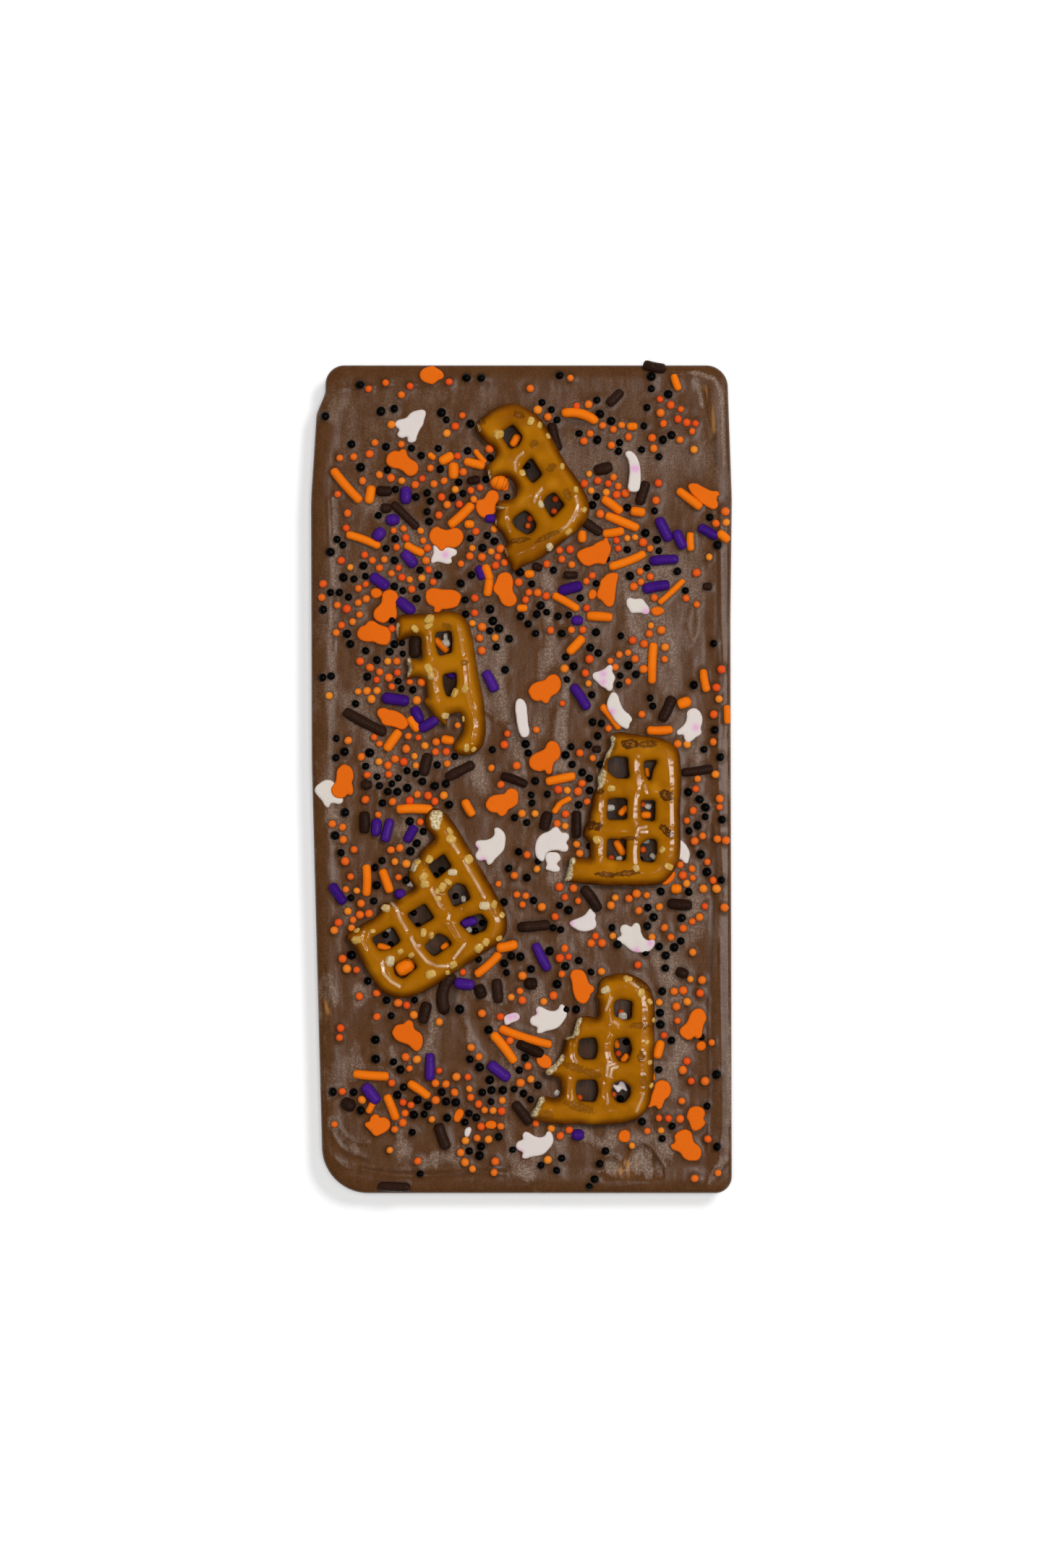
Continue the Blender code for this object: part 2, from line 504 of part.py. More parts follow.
def stick(ends, half_width, where):
    """A sugar stick, or a round bead where its ends meet."""
    middle = (ends[0] + ends[1]) / 2
    along = ends[1] - ends[0]
    radius = half_width * PIXEL
    mesh = bmesh.new()
    if along.length < half_width * 0.5:
        bmesh.ops.create_icosphere(mesh, subdivisions=1, radius=radius)
        turned = Matrix.Identity(4)
    else:
        depth = (along.length + half_width * 1.7) * PIXEL
        bmesh.ops.create_cone(mesh, cap_ends=True, segments=6, radius1=radius, radius2=radius, depth=depth)
        turned = Matrix.Rotation(-math.atan2(along.y, along.x), 4, "Z")
        turned @= Matrix.Rotation(math.pi / 2, 4, "Y")
    height = face_height(*middle) + radius * (1 - 2 * SPRINKLE_SUNK)
    bmesh.ops.transform(mesh, matrix=Matrix.Translation(place(*middle, height)) @ turned, verts=mesh.verts)
    return add_mesh("stick", mesh, where)


def flat_drop(outline, x, y, where):
    """A flat sugar drop lying half sunk in the poured face, its outline in pixels about its middle."""
    curve = bpy.data.curves.new("drop", "CURVE")
    curve.dimensions = "2D"
    curve.fill_mode = "BOTH"
    curve.extrude = DROP_THICKNESS / 2
    spline = curve.splines.new("POLY")
    spline.points.add(len(outline) - 1)
    spline.use_cyclic_u = True
    for point, spot in zip(spline.points, outline):
        point.co = (*place(x + spot[0], y + spot[1]), 1.0)
    mesh = curve_to_bmesh(curve, where)
    height = face_height(x, y) + DROP_THICKNESS * (0.5 - SPRINKLE_SUNK)
    bmesh.ops.translate(mesh, vec=(0, 0, height), verts=mesh.verts)
    return add_mesh("drop", mesh, where)


def turned_outline(spots, turn):
    """Places about a drop's middle, turned clockwise in the photograph by a number of degrees."""
    for spot in spots:
        spot.rotate(Matrix.Rotation(math.radians(turn), 2))
    return spots


def pumpkin_outline(turn, length, width):
    """Two round lobes with a stem between them on the upper side."""
    spots = []
    whole = length > LEAST_WHOLE
    count = PUMPKIN_POINTS if whole else PUMPKIN_POINTS // 2
    for step in range(count):
        angle = 2 * math.pi * (step + 0.5) / count
        waist = 1 - WAIST * math.cos(angle) ** 2 * math.sin(angle) ** 2 - WAIST * math.sin(angle) ** 12
        spots.append(Vector((length / 2 * math.cos(angle), width / 2 * math.sin(angle) * waist)))
    if whole:
        top = 3 * count // 4
        side, rise = STEM
        spots[top:top] = [Vector((-side * length, -rise * width)), Vector((side * length, -rise * width))]
    return turned_outline(spots, turn)


def ghost_outline(turn, length):
    """A ghost drop's outline, turned and at its size."""
    return turned_outline([Vector(spot) * length for spot in GHOST_OUTLINE], turn)


def moved_clear(x, y, reach):
    """A drop's place, moved away from the pretzels where it would cross one, or nothing."""
    here = Vector((x, y))
    for _ in range(DROP_MOVES):
        gap = strand_gap(*here)
        if gap > reach:
            return here
        slope = Vector((strand_gap(here.x + 1, here.y) - gap, strand_gap(here.x, here.y + 1) - gap))
        if slope.length == 0:
            return None
        here += slope.normalized() * 2
    return None


def scatter_beads(taken):
    """The small beads of every drift as places and radii in pixels, clear of each other, of the
    sprinkles' footprints and of the pretzels."""
    draw = random.Random(31)
    beads = []
    for x, y, reach, orange, black in BEAD_DRIFTS:
        for _ in range(orange + black):
            for attempt in range(BEAD_TRIES):
                angle = draw.uniform(0, 2 * math.pi)
                away = reach * math.sqrt(draw.random()) * (1 + attempt / BEAD_TRIES)
                here = Vector((x + away * math.cos(angle), y + away * math.sin(angle)))
                radius = draw.uniform(*BEAD_SIZES) / 2
                crowded = any((here - other).length < radius + size + 1 for other, size in beads)
                crossed = any(distance_to_route(here, ends) < radius + half + 1 for *ends, half in taken)
                inside = edge_distance(*here) > radius * PIXEL
                if inside and not crowded and not crossed and strand_gap(*here) > radius + CLEARANCE:
                    beads.append((here, radius))
                    break
    return beads


for old_object in list(bpy.data.objects):
    bpy.data.objects.remove(old_object)

scene_collection = bpy.context.scene.collection
bark = collection("chocolate_pretzel_bark", scene_collection)
cutters = collection("cutters", scene_collection)
chocolate = material("milk_chocolate", (0.11, 0.055, 0.025), 0.45)
baked = material("glazed_pretzel", (0.42, 0.18, 0.02), 0.35)

# The bar, and a bed in it for each piece of pretzel
slab = bar(bark)
for pretzel_name in PRETZELS:
    pretzel(pretzel_name, GAP, cutters)
combine(slab, cutters, "DIFFERENCE", "MANIFOLD")

# The sprinkles fused to its face: sticks, then drops, then a few of the beads between them
sprinkles = collection("sprinkles", scene_collection)
capsules = sprinkle_capsules(ORANGE_STICKS + PURPLE_STICKS + BROWN_STICKS)
for first_end, last_end, half_width in capsules:
    if (first_end - last_end).length + 2 * half_width > SHORTEST_STICK:
        stick((first_end, last_end), half_width, sprinkles)
for x, y, turn, length, width in PUMPKINS:
    spot = moved_clear(x, y, length / 2 + CLEARANCE)
    if spot:
        flat_drop(pumpkin_outline(turn, length, width), *spot, sprinkles)
        capsules.append((spot, spot, width * 0.6))
for x, y, turn, length in GHOSTS:
    spot = moved_clear(x, y, length * 0.42 + CLEARANCE)
    if spot:
        flat_drop(ghost_outline(turn, length), *spot, sprinkles)
        capsules.append((spot, spot, length * 0.4))
for spot, radius in scatter_beads(capsules)[::BEADS_KEPT]:
    stick((spot, spot), radius, sprinkles)
combine(slab, sprinkles, "UNION", "MANIFOLD")
slab.data.materials.append(chocolate)

# The pieces of pretzel in their beds
for pretzel_name in PRETZELS:
    piece = pretzel(pretzel_name, 0.0, bark)
    piece.data.materials.append(baked)
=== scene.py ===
"""Chocolate pretzel bark: a poured bar of milk chocolate with broken waffle pretzels and sugar
sprinkles in its face, lying flat on a white table and seen from straight above.

Places along the bar are in pixels of the photograph, x to the right and y down, and heights are
in millimetres above the underside. on_bar() turns both into metres.
"""
import math
import random

import bmesh
import bpy
import numpy as np
from mathutils import Matrix, Vector, noise
from mathutils.bvhtree import BVHTree


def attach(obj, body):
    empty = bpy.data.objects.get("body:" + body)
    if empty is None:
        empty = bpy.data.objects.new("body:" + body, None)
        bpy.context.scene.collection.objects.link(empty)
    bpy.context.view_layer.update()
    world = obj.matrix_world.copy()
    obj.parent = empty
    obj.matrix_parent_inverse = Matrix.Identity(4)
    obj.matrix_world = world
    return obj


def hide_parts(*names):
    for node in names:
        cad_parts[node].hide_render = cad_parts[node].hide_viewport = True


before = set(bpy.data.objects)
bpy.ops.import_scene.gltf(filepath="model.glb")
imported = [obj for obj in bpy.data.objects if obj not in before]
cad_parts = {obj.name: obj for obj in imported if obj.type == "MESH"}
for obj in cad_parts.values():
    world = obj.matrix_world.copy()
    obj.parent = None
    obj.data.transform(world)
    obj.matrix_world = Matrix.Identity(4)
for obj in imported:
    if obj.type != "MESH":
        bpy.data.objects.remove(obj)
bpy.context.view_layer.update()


# The bar: milk chocolate poured into a tablet mould and left with its poured side up. It is
# thickest at the mould's edge, where it clung, and carries the soft ridges, folds and smears of
# the spatula and of the shaking that levelled it. The smears are paler satin with painted sheen.

# A pixel in metres, the pixel over the origin, and the height of the poured face
PIXEL = 0.00014
PHOTO_MIDDLE = (721.3, 1073.2)
FACE = 6.8

# Corners of the outline, clockwise from the top left: x, y and the radius of the round
BAR_CORNERS = (
    (450.5, 504.7, 26), (1005.6, 504.7, 30), (1012.2, 690, 300), (1010.2, 860, 900), (1012.2, 1650.2, 23),
    (446.6, 1650.2, 64), (430.9, 1055, 900), (429.8, 690, 500), (437.5, 572, 30), (449.6, 543, 20),
)
# Height of the poured side by the distance in from the outline, both in millimetres
EDGE_PROFILE = (
    (0.0, 6.0), (0.15, 6.32), (0.35, 6.55), (0.7, 6.74), (1.3, 6.88), (2.3, 6.96), (3.2, 6.94),
    (4.0, 6.86), (5.0, FACE),
)
# The mould's wall: inset and height in millimetres, from the outline down to the underside
WALL = ((0.25, 5.0), (0.55, 3.8), (0.9, 2.4), (1.3, 1.1), (1.55, 0.55), (1.95, 0.18), (2.4, 0.0))
# The face's mesh, in pixels: its usual step, its places at the edges, and finer steps along the
# borders at the sides
MESH_STEP = 3.0
EDGE_STEPS = (0.0, 0.3, 0.8, 1.5, 2.4, 3.6, 5.2, 7.2, 9.6)
BAR_WIDTH = 575.0
BORDER = 40
BORDER_STEP = 1.9
# How wide the level rim is, over what width the waves of the open face set in, and from where
# down the face is more mottled, in pixels
RIM_WIDTH = 6
WAVES_SET_IN = 22
MOTTLED_FROM, MOTTLED_OVER = 850, 350
# Waves of the open face: height in millimetres, its gain where the face is mottled, the size of
# the lumps across and along the bar, and which noise
WAVES = ((0.05, 0.04, 26, 75, 3.1), (0.07, 0.02, 60, 60, 7.7), (0.02, 0.0, 9, 34, 1.3))

# Ridges of chocolate: height in millimetres (below zero for a groove), half width, route
RIDGES = (
    (0.10, 1.8, ((459, 688), (462, 709), (464, 752), (466, 800), (464, 860), (462, 900))),
    (0.08, 1.6, ((453, 690), (455, 745), (457, 800), (455, 870))),
    (0.10, 1.6, ((455, 538), (521, 534), (579, 532), (618, 537), (644, 547))),
    (0.12, 1.5, ((930, 514), (965, 516), (988, 524), (997, 542), (999, 580), (1001, 640))),
    (-0.12, 3.0, ((962, 528), (972, 552), (980, 580), (986, 604))),
    (0.09, 1.8, ((996, 700), (997, 780), (998, 866), (1003, 930), (1001, 969))),
    (0.10, 1.6, ((1005, 690), (1005, 780), (1007, 930), (1005, 969), (1004, 1020))),
    (0.08, 1.7, ((993, 985), (993, 1080), (997, 1160), (1002, 1240))),
    (-0.05, 7.0, ((988, 690), (990, 860), (986, 1000), (988, 1150), (986, 1300), (985, 1440), (986, 1560))),
    (0.08, 1.7, ((996, 1300), (996, 1370), (999, 1480), (999, 1563), (994, 1606), (971, 1646))),
    (0.07, 1.6, ((1006, 1200), (1007, 1370), (1009, 1480), (1009, 1552))),
    (0.07, 1.8, ((980, 1380), (980, 1441), (981, 1520), (978, 1590))),
    (0.15, 4.5, ((752, 836), (758, 870), (768, 905), (779, 938), (783, 952))),
    (0.10, 3.5, ((767, 851), (778, 872), (792, 880))),
    (0.12, 3.5, ((783, 943), (774, 968), (767, 1000), (765, 1040), (765, 1090))),
    (0.18, 4.0, ((722, 1010), (719, 1045), (721, 1080))),
    (0.16, 3.5, ((655, 968), (672, 982), (688, 994), (702, 1004))),
    (0.13, 4.5, ((866, 795), (868, 834), (870, 870), (878, 890), (890, 905))),
    (0.08, 1.8, ((960, 833), (953, 850), (951, 866), (957, 885))),
    (0.08, 1.8, ((960, 833), (965, 850), (964, 872), (958, 886))),
    (0.09, 2.5, ((952, 1128), (955, 1145), (962, 1178))),
    (0.12, 2.5, ((727, 1176), (720, 1192), (711, 1214))),
    (0.10, 2.5, ((523, 1095), (521, 1106), (519, 1118))),
    (0.16, 3.5, ((500, 1616), (520, 1621), (545, 1625), (591, 1625), (661, 1620), (700, 1622))),
    (0.12, 3.0, ((455, 1553), (461, 1572), (472, 1587), (486, 1596), (504, 1600))),
    (0.10, 3.0, ((447, 1570), (455, 1595), (474, 1612), (500, 1618))),
    (0.12, 2.5, ((470, 1560), (478, 1572), (492, 1580), (508, 1580))),
    (0.10, 2.2, ((700, 1642), (730, 1641))), (0.10, 2.2, ((835, 1642), (870, 1641))),
    (0.12, 2.5, ((975, 1641), (990, 1625), (1004, 1606))),
    (-0.14, 3.0, ((444, 1498), (449, 1530), (453, 1558))),
    (0.14, 4.0, ((607, 1400), (605, 1425), (598, 1455))),
    (0.12, 4.0, ((642, 1412), (650, 1435), (660, 1458))),
    (0.16, 5.0, ((560, 1150), (575, 1153), (586, 1160))),
    (0.14, 5.0, ((800, 1170), (806, 1175), (812, 1182))), (0.12, 4.0, ((845, 955), (842, 975), (838, 990))),
    (0.12, 4.0, ((600, 1050), (630, 1042), (655, 1030), (668, 1010))),
    (0.12, 4.0, ((560, 1410), (575, 1440), (580, 1480))),
)
# The dent by the bottom edge, like two humps side by side, each with a raised brim; its depth
# and the brim's height are in millimetres
DENT = (
    ((832, 1609), (836, 1603), (845, 1600), (854, 1604), (862, 1613)),
    ((862, 1613), (868, 1604), (878, 1589), (889, 1581), (901, 1590), (912, 1606), (916, 1614)),
)
DENT_DEPTH = 0.42
DENT_BRIM = 0.26
DENT_FOOT = 1634

# Satin patches, paler and with painted sheen, over the darker chocolate, as the waves are: share,
# gain, size, which noise
SATIN_SHEEN_SHARE = 0.30
SATIN_SHEEN_LESS = 0.18
SATIN_SHEEN_PATCHES = ((0.10, 0.29, 20, 55, 5.5), (0.14, 0.10, 55, 70, 9.2))
# Pale smears of satin with painted sheen on the darker chocolate, some of them thin painted
# highlights along the ridges: strength, half width, route
SHEEN_SMEAR_SHARE = 0.8
SHEEN_SMEARS = (
    (0.9, 5, ((461, 690), (464, 752), (465, 810))), (0.4, 6, ((459, 850), (458, 960), (458, 1050))),
    (0.9, 7, ((757, 800), (759, 860), (760, 915))), (0.7, 10, ((745, 905), (748, 960), (742, 1010))),
    (0.8, 8, ((786, 930), (781, 985), (780, 1060))), (0.5, 20, ((900, 850), (925, 900), (930, 950))),
    (0.45, 26, ((880, 800), (930, 790), (975, 810))), (0.6, 9, ((868, 800), (872, 860), (890, 915))),
    (0.6, 9, ((695, 880), (690, 940), (700, 990))), (0.7, 7, ((715, 1005), (713, 1050), (716, 1090))),
    (0.5, 14, ((655, 870), (660, 930), (640, 980))), (0.6, 16, ((600, 1045), (640, 1050), (665, 1080))),
    (0.4, 18, ((480, 960), (500, 1010), (520, 1060))), (0.4, 16, ((460, 1130), (470, 1180), (455, 1230))),
    (1.0, 9, ((494, 1368), (492, 1388))), (0.8, 7, ((456, 1350), (462, 1380), (466, 1400))),
    (0.7, 8, ((508, 1414), (512, 1440))), (0.8, 8, ((496, 1440), (494, 1465), (492, 1490))),
    (0.9, 6, ((541, 1450), (545, 1475))), (1.0, 9, ((606, 1400), (600, 1430), (592, 1458))),
    (0.9, 7, ((640, 1418), (650, 1440), (658, 1462))), (0.9, 8, ((660, 1375), (690, 1380))),
    (0.9, 11, ((552, 1550), (556, 1585), (550, 1605))), (0.8, 10, ((462, 1550), (478, 1580), (500, 1592))),
    (0.8, 13, ((590, 1605), (620, 1600), (650, 1575))), (0.8, 9, ((700, 1632), (716, 1622), (730, 1626))),
    (0.6, 12, ((700, 1560), (712, 1600), (725, 1620))), (0.7, 10, ((770, 1580), (778, 1610), (788, 1625))),
    (0.8, 9, ((812, 1570), (835, 1585), (850, 1575))), (0.9, 10, ((870, 1575), (900, 1570), (925, 1590))),
    (1.0, 9, ((937, 1438), (950, 1452), (940, 1470))), (0.7, 12, ((917, 1475), (925, 1500), (930, 1515))),
    (0.6, 16, ((915, 1330), (930, 1370), (915, 1400))), (0.4, 12, ((966, 1180), (970, 1240), (966, 1290))),
    (0.5, 18, ((900, 1240), (880, 1250), (850, 1270))), (0.5, 14, ((965, 1040), (962, 1090), (968, 1120))),
    (0.5, 14, ((690, 1200), (700, 1240), (720, 1270))), (0.45, 16, ((760, 1210), (790, 1215), (820, 1200))),
    (0.5, 12, ((690, 1290), (655, 1330), (640, 1350))), (0.8, 7, ((975, 1640), (988, 1622), (1001, 1604))),
    (0.7, 6, ((1008, 1380), (1009, 1460), (1010, 1550))), (0.6, 14, ((560, 1150), (580, 1155))),
    (0.5, 12, ((800, 1290), (770, 1300), (740, 1310))), (0.5, 14, ((520, 700), (560, 740), (600, 770))),
    (0.4, 18, ((700, 760), (740, 790), (760, 800))), (0.3, 20, ((850, 620), (900, 640), (960, 640))),
    (1.1, 2.4, ((930, 514), (965, 516), (988, 524), (997, 542))),
    (1.1, 2.4, ((997, 542), (999, 580), (1001, 640))), (0.8, 3.0, ((964, 526), (968, 545), (970, 560))),
)
# Painted shade in the folds and grooves, as dark lines: strength, half width, route
DARK_LINES = (
    (0.55, 2.2, ((985, 1140), (990, 1170), (990, 1205), (986, 1260), (984, 1330))),
    (0.5, 2.2, ((984, 1330), (980, 1400), (981, 1450), (983, 1520))),
    (0.5, 1.6, ((498, 1615), (560, 1620), (640, 1622), (705, 1614))),
    (0.4, 1.8, ((449, 1335), (454, 1365), (458, 1388))),
    (0.45, 1.8, ((463, 690), (466, 740), (468, 800), (466, 870))),
    (0.5, 3.0, ((975, 530), (982, 560), (988, 600), (990, 640))),
    (0.4, 1.6, ((1003, 560), (1004, 640), (1006, 720), (1005, 860))),
    (0.4, 1.8, ((992, 700), (993, 800), (993, 900), (997, 1000))),
    (0.4, 1.8, ((466, 1560), (482, 1592), (510, 1606))),
    (0.35, 1.6, ((975, 1590), (982, 1560), (984, 1520))),
    (0.45, 1.5, ((832, 1612), (836, 1606), (845, 1603), (854, 1607), (861, 1616))),
    (0.45, 1.5, ((864, 1614), (870, 1606), (879, 1592), (889, 1584), (900, 1592), (911, 1608),
     (915, 1616))),
)
# Smooth, dark places, where the chocolate set against nothing and has no satin or painted sheen:
# strength, half width, route
BARE_SMEARS = (
    (0.8, 14, ((470, 515), (600, 517), (760, 515), (940, 518))),
    (0.9, 9, ((988, 700), (989, 900), (988, 1100))),
    (0.9, 9, ((988, 1150), (986, 1350), (986, 1560), (980, 1600))),
    (0.9, 12, ((447, 600), (443, 700), (440, 760))), (0.7, 12, ((775, 860), (800, 930), (805, 1010))),
    (0.7, 12, ((500, 1610), (600, 1638), (700, 1634))), (0.8, 16, ((470, 1630), (520, 1642), (600, 1641))),
    (0.8, 14, ((760, 1634), (860, 1646), (960, 1640))), (0.7, 20, ((630, 1420), (625, 1450), (640, 1475))),
    (0.6, 20, ((590, 1560), (640, 1560), (680, 1580))), (0.7, 14, ((470, 1400), (500, 1420), (520, 1430))),
    (0.6, 18, ((740, 880), (725, 930), (725, 980))), (0.7, 16, ((530, 1600), (500, 1560), (520, 1580))),
    (0.5, 18, ((640, 1100), (650, 1130), (700, 1140))), (0.6, 16, ((850, 1310), (880, 1330), (890, 1345))),
    (0.6, 14, ((955, 1490), (960, 1520), (950, 1600))), (0.5, 20, ((560, 690), (600, 700), (640, 700))),
    (0.6, 16, ((800, 1600), (800, 1630), (770, 1645))),
)
# Painted amber glints in the dent, as strength, middle, how round and reach, and in the folds
AMBER_GLINT_SPOTS = ((1.2, 871, 1611, 0.6, 7), (1.0, 856, 1618, 0.8, 6))
AMBER_GLINT_FOLDS = (
    (0.7, 4, ((447, 1384), (455, 1399))), (0.6, 3.5, ((974, 536), (982, 560), (988, 596))),
)


def on_bar(x, y, height=0.0):
    """A place in metres, from one in the photograph and a height in millimetres."""
    return Vector(((x - PHOTO_MIDDLE[0]) * PIXEL, (PHOTO_MIDDLE[1] - y) * PIXEL, height / 1000))


def bar_outline():
    """The bar's outline as a closed row of places, its corners rounded in short steps."""
    places = []
    for index, (x, y, radius) in enumerate(BAR_CORNERS):
        corner = Vector((x, y))
        before = (Vector(BAR_CORNERS[index - 1][:2]) - corner).normalized()
        after = (Vector(BAR_CORNERS[(index + 1) % len(BAR_CORNERS)][:2]) - corner).normalized()
        half = before.angle(after) / 2
        centre = corner + (before + after).normalized() * radius / math.sin(half)
        start = corner + before * radius / math.tan(half) - centre
        stop = corner + after * radius / math.tan(half) - centre
        steps = 24 if half < 1.2 else 6
        for step in range(steps + 1):
            spoke = (start * (1 - step / steps) + stop * step / steps).normalized()
            places.append(centre + spoke * radius)
    return np.array(places)


def route_offset(x, y, route, closed=False):
    """How far every place lies across and down from the nearest spot on a route."""
    found, across, down = (np.full(np.shape(x), 1e9) for _ in range(3))
    ends = list(route) + ([route[0]] if closed else [])
    for (x0, y0), (x1, y1) in zip(ends, ends[1:]):
        along_x, along_y = x1 - x0, y1 - y0
        length = max(along_x ** 2 + along_y ** 2, 1e-9)
        part = np.clip(((x - x0) * along_x + (y - y0) * along_y) / length, 0, 1)
        aside, below = x - x0 - along_x * part, y - y0 - along_y * part
        nearer = np.hypot(aside, below) < found
        found = np.where(nearer, np.hypot(aside, below), found)
        across, down = np.where(nearer, aside, across), np.where(nearer, below, down)
    return across, down


def route_distance(x, y, route, closed=False):
    """The distance from every place to the nearest stretch of a route."""
    return np.hypot(*route_offset(x, y, route, closed))


def bell(away, reach):
    """1 where a distance is nothing, a third of it at the reach, and soon nothing beyond."""
    return np.exp(-(away / reach) ** 2)


def grain(x, y, across, along, seed):
    """Smooth noise from -1 to 1 at each place, its lumps of a size across and along the bar."""
    values = [noise.noise(Vector((a / across, b / along, seed))) for a, b in zip(x.flat, y.flat)]
    return np.array(values).reshape(np.shape(x)) * 1.6


def edge_to_edge(first, last, border=0):
    """Places from one edge to the other, closer together at both and over a border."""
    near = first + np.array(EDGE_STEPS)
    near = np.concatenate([near, near[-1] + np.arange(BORDER_STEP, border, BORDER_STEP)])
    far = first + last - near[::-1]
    count = int((far[0] - near[-1]) / MESH_STEP)
    return np.concatenate([near, np.linspace(near[-1], far[0], count + 1)[1:-1], far])


bar_edge = bar_outline()
top, bottom = bar_edge[:, 1].min(), bar_edge[:, 1].max()
rows = edge_to_edge(top, bottom)
columns = edge_to_edge(0.0, BAR_WIDTH, BORDER) / BAR_WIDTH
left, right = [], []
for y in rows:
    level = min(max(y, top + 0.02), bottom - 0.02)
    crossings = []
    for (x0, y0), (x1, y1) in zip(bar_edge, np.roll(bar_edge, -1, axis=0)):
        if (y0 > level) != (y1 > level):
            crossings.append(x0 + (level - y0) * (x1 - x0) / (y1 - y0))
    left.append(min(crossings))
    right.append(max(crossings))
left, right = np.array(left)[:, None], np.array(right)[:, None]
bar_x = left + (right - left) * columns[None, :]
bar_y = np.repeat(rows[:, None], len(columns), axis=1)

inside = route_distance(bar_x, bar_y, bar_edge, closed=True)
height = np.interp(inside * PIXEL * 1000, *np.array(EDGE_PROFILE).T)
open_face = np.clip((inside - RIM_WIDTH) / WAVES_SET_IN, 0, 1)
mottled = np.clip((bar_y - MOTTLED_FROM) / MOTTLED_OVER, 0, 1)
for rise, gain, *lumps in WAVES:
    height += open_face * (rise + gain * mottled) * grain(bar_x, bar_y, *lumps)
for rise, half_width, route in RIDGES:
    away = route_distance(bar_x, bar_y, route)
    height += rise * bell(away, half_width) * np.clip(inside / RIM_WIDTH, 0, 1)
dent_floor = np.zeros_like(bar_x)
for route in DENT:
    brim = np.interp(bar_x, *np.array(route, dtype=float).T, left=np.inf, right=np.inf)
    sunk = np.clip((bar_y - brim) / 2.5, 0, 1) * np.clip((DENT_FOOT - bar_y) / 14, 0, 1)
    dent_floor = np.maximum(dent_floor, sunk)
    height += DENT_BRIM * bell(route_distance(bar_x, bar_y, route), 2.8)
height -= DENT_DEPTH * dent_floor

satin = SATIN_SHEEN_SHARE - SATIN_SHEEN_LESS * mottled
for share, gain, *lumps in SATIN_SHEEN_PATCHES:
    satin += (share + gain * mottled) * grain(bar_x, bar_y, *lumps)
for strength, half_width, route in SHEEN_SMEARS:
    satin += strength * SHEEN_SMEAR_SHARE * bell(route_distance(bar_x, bar_y, route), half_width)
for strength, half_width, route in BARE_SMEARS:
    satin -= strength * bell(route_distance(bar_x, bar_y, route), half_width)
# The dent's floor gets satin with painted sheen
satin += dent_floor * (0.75 + 0.4 * grain(bar_x, bar_y, 9, 16, 2.2))
amber = np.zeros_like(bar_x)
for strength, x, y, roundness, reach in AMBER_GLINT_SPOTS:
    amber += strength * bell(np.hypot(bar_x - x, (bar_y - y) * roundness), reach)
for strength, half_width, route in AMBER_GLINT_FOLDS:
    amber += strength * bell(route_distance(bar_x, bar_y, route), half_width)

bpy.ops.object.select_all(action="DESELECT")
bpy.ops.mesh.primitive_grid_add(x_subdivisions=len(columns) - 1, y_subdivisions=len(rows) - 1, size=2)
bar = bpy.context.object
bar.name = "poured_chocolate"
flat = np.zeros(len(bar.data.vertices) * 3)
bar.data.vertices.foreach_get("co", flat)
flat = flat.reshape(-1, 3)
column = np.rint((flat[:, 0] + 1) / 2 * (len(columns) - 1)).astype(int)
row = np.rint((1 - flat[:, 1]) / 2 * (len(rows) - 1)).astype(int)
flat[:, 0] = (bar_x[row, column] - PHOTO_MIDDLE[0]) * PIXEL
flat[:, 1] = (PHOTO_MIDDLE[1] - bar_y[row, column]) * PIXEL
flat[:, 2] = height[row, column] / 1000
bar.data.vertices.foreach_set("co", flat.ravel())

# The wall is drawn down from the rim in steps, each one moved inwards, and the underside closed
bpy.ops.object.mode_set(mode="EDIT")
bpy.ops.mesh.select_all(action="DESELECT")
bpy.ops.mesh.select_mode(type="EDGE")
shell = bmesh.from_edit_mesh(bar.data)
for edge in shell.edges:
    edge.select = edge.is_boundary
bmesh.update_edit_mesh(bar.data)
inset_before = 0.0
for inset, level in WALL:
    bpy.ops.mesh.extrude_region_move()
    shell = bmesh.from_edit_mesh(bar.data)
    rim = [vert for vert in shell.verts if vert.select]
    moves = []
    for vert in rim:
        sides = [edge for edge in vert.link_edges if edge.select]
        along = sides[0].other_vert(vert).co - sides[1].other_vert(vert).co
        inward = Vector((-along.y, along.x, 0)).normalized()
        if inward.dot(vert.co) > 0:
            inward.negate()
        moves.append(inward)
    for vert, inward in zip(rim, moves):
        vert.co += inward * (inset - inset_before) / 1000
        vert.co.z = level / 1000
    inset_before = inset
    bmesh.update_edit_mesh(bar.data)
bpy.ops.mesh.edge_face_add()
bpy.ops.mesh.select_all(action="SELECT")
bpy.ops.mesh.normals_make_consistent(inside=False)
bpy.ops.object.mode_set(mode="OBJECT")
bpy.ops.object.shade_smooth()


class Tone:
    """One output of a shader node, with the sums that its nodes can do."""

    def __init__(self, tree, socket):
        self.tree = tree
        self.socket = socket

    def sum_with(self, other, operation, turned=False):
        node = self.tree.nodes.new("ShaderNodeMath")
        node.operation = operation
        pair = (other, self) if turned else (self, other)
        for slot, value in zip(node.inputs, pair):
            if isinstance(value, Tone):
                self.tree.links.new(value.socket, slot)
            else:
                slot.default_value = value
        return Tone(self.tree, node.outputs[0])

    def __add__(self, other):
        return self.sum_with(other, "ADD")

    def __radd__(self, other):
        return self.sum_with(other, "ADD", turned=True)

    def __sub__(self, other):
        return self.sum_with(other, "SUBTRACT")

    def __rsub__(self, other):
        return self.sum_with(other, "SUBTRACT", turned=True)

    def __mul__(self, other):
        return self.sum_with(other, "MULTIPLY")

    def __rmul__(self, other):
        return self.sum_with(other, "MULTIPLY", turned=True)


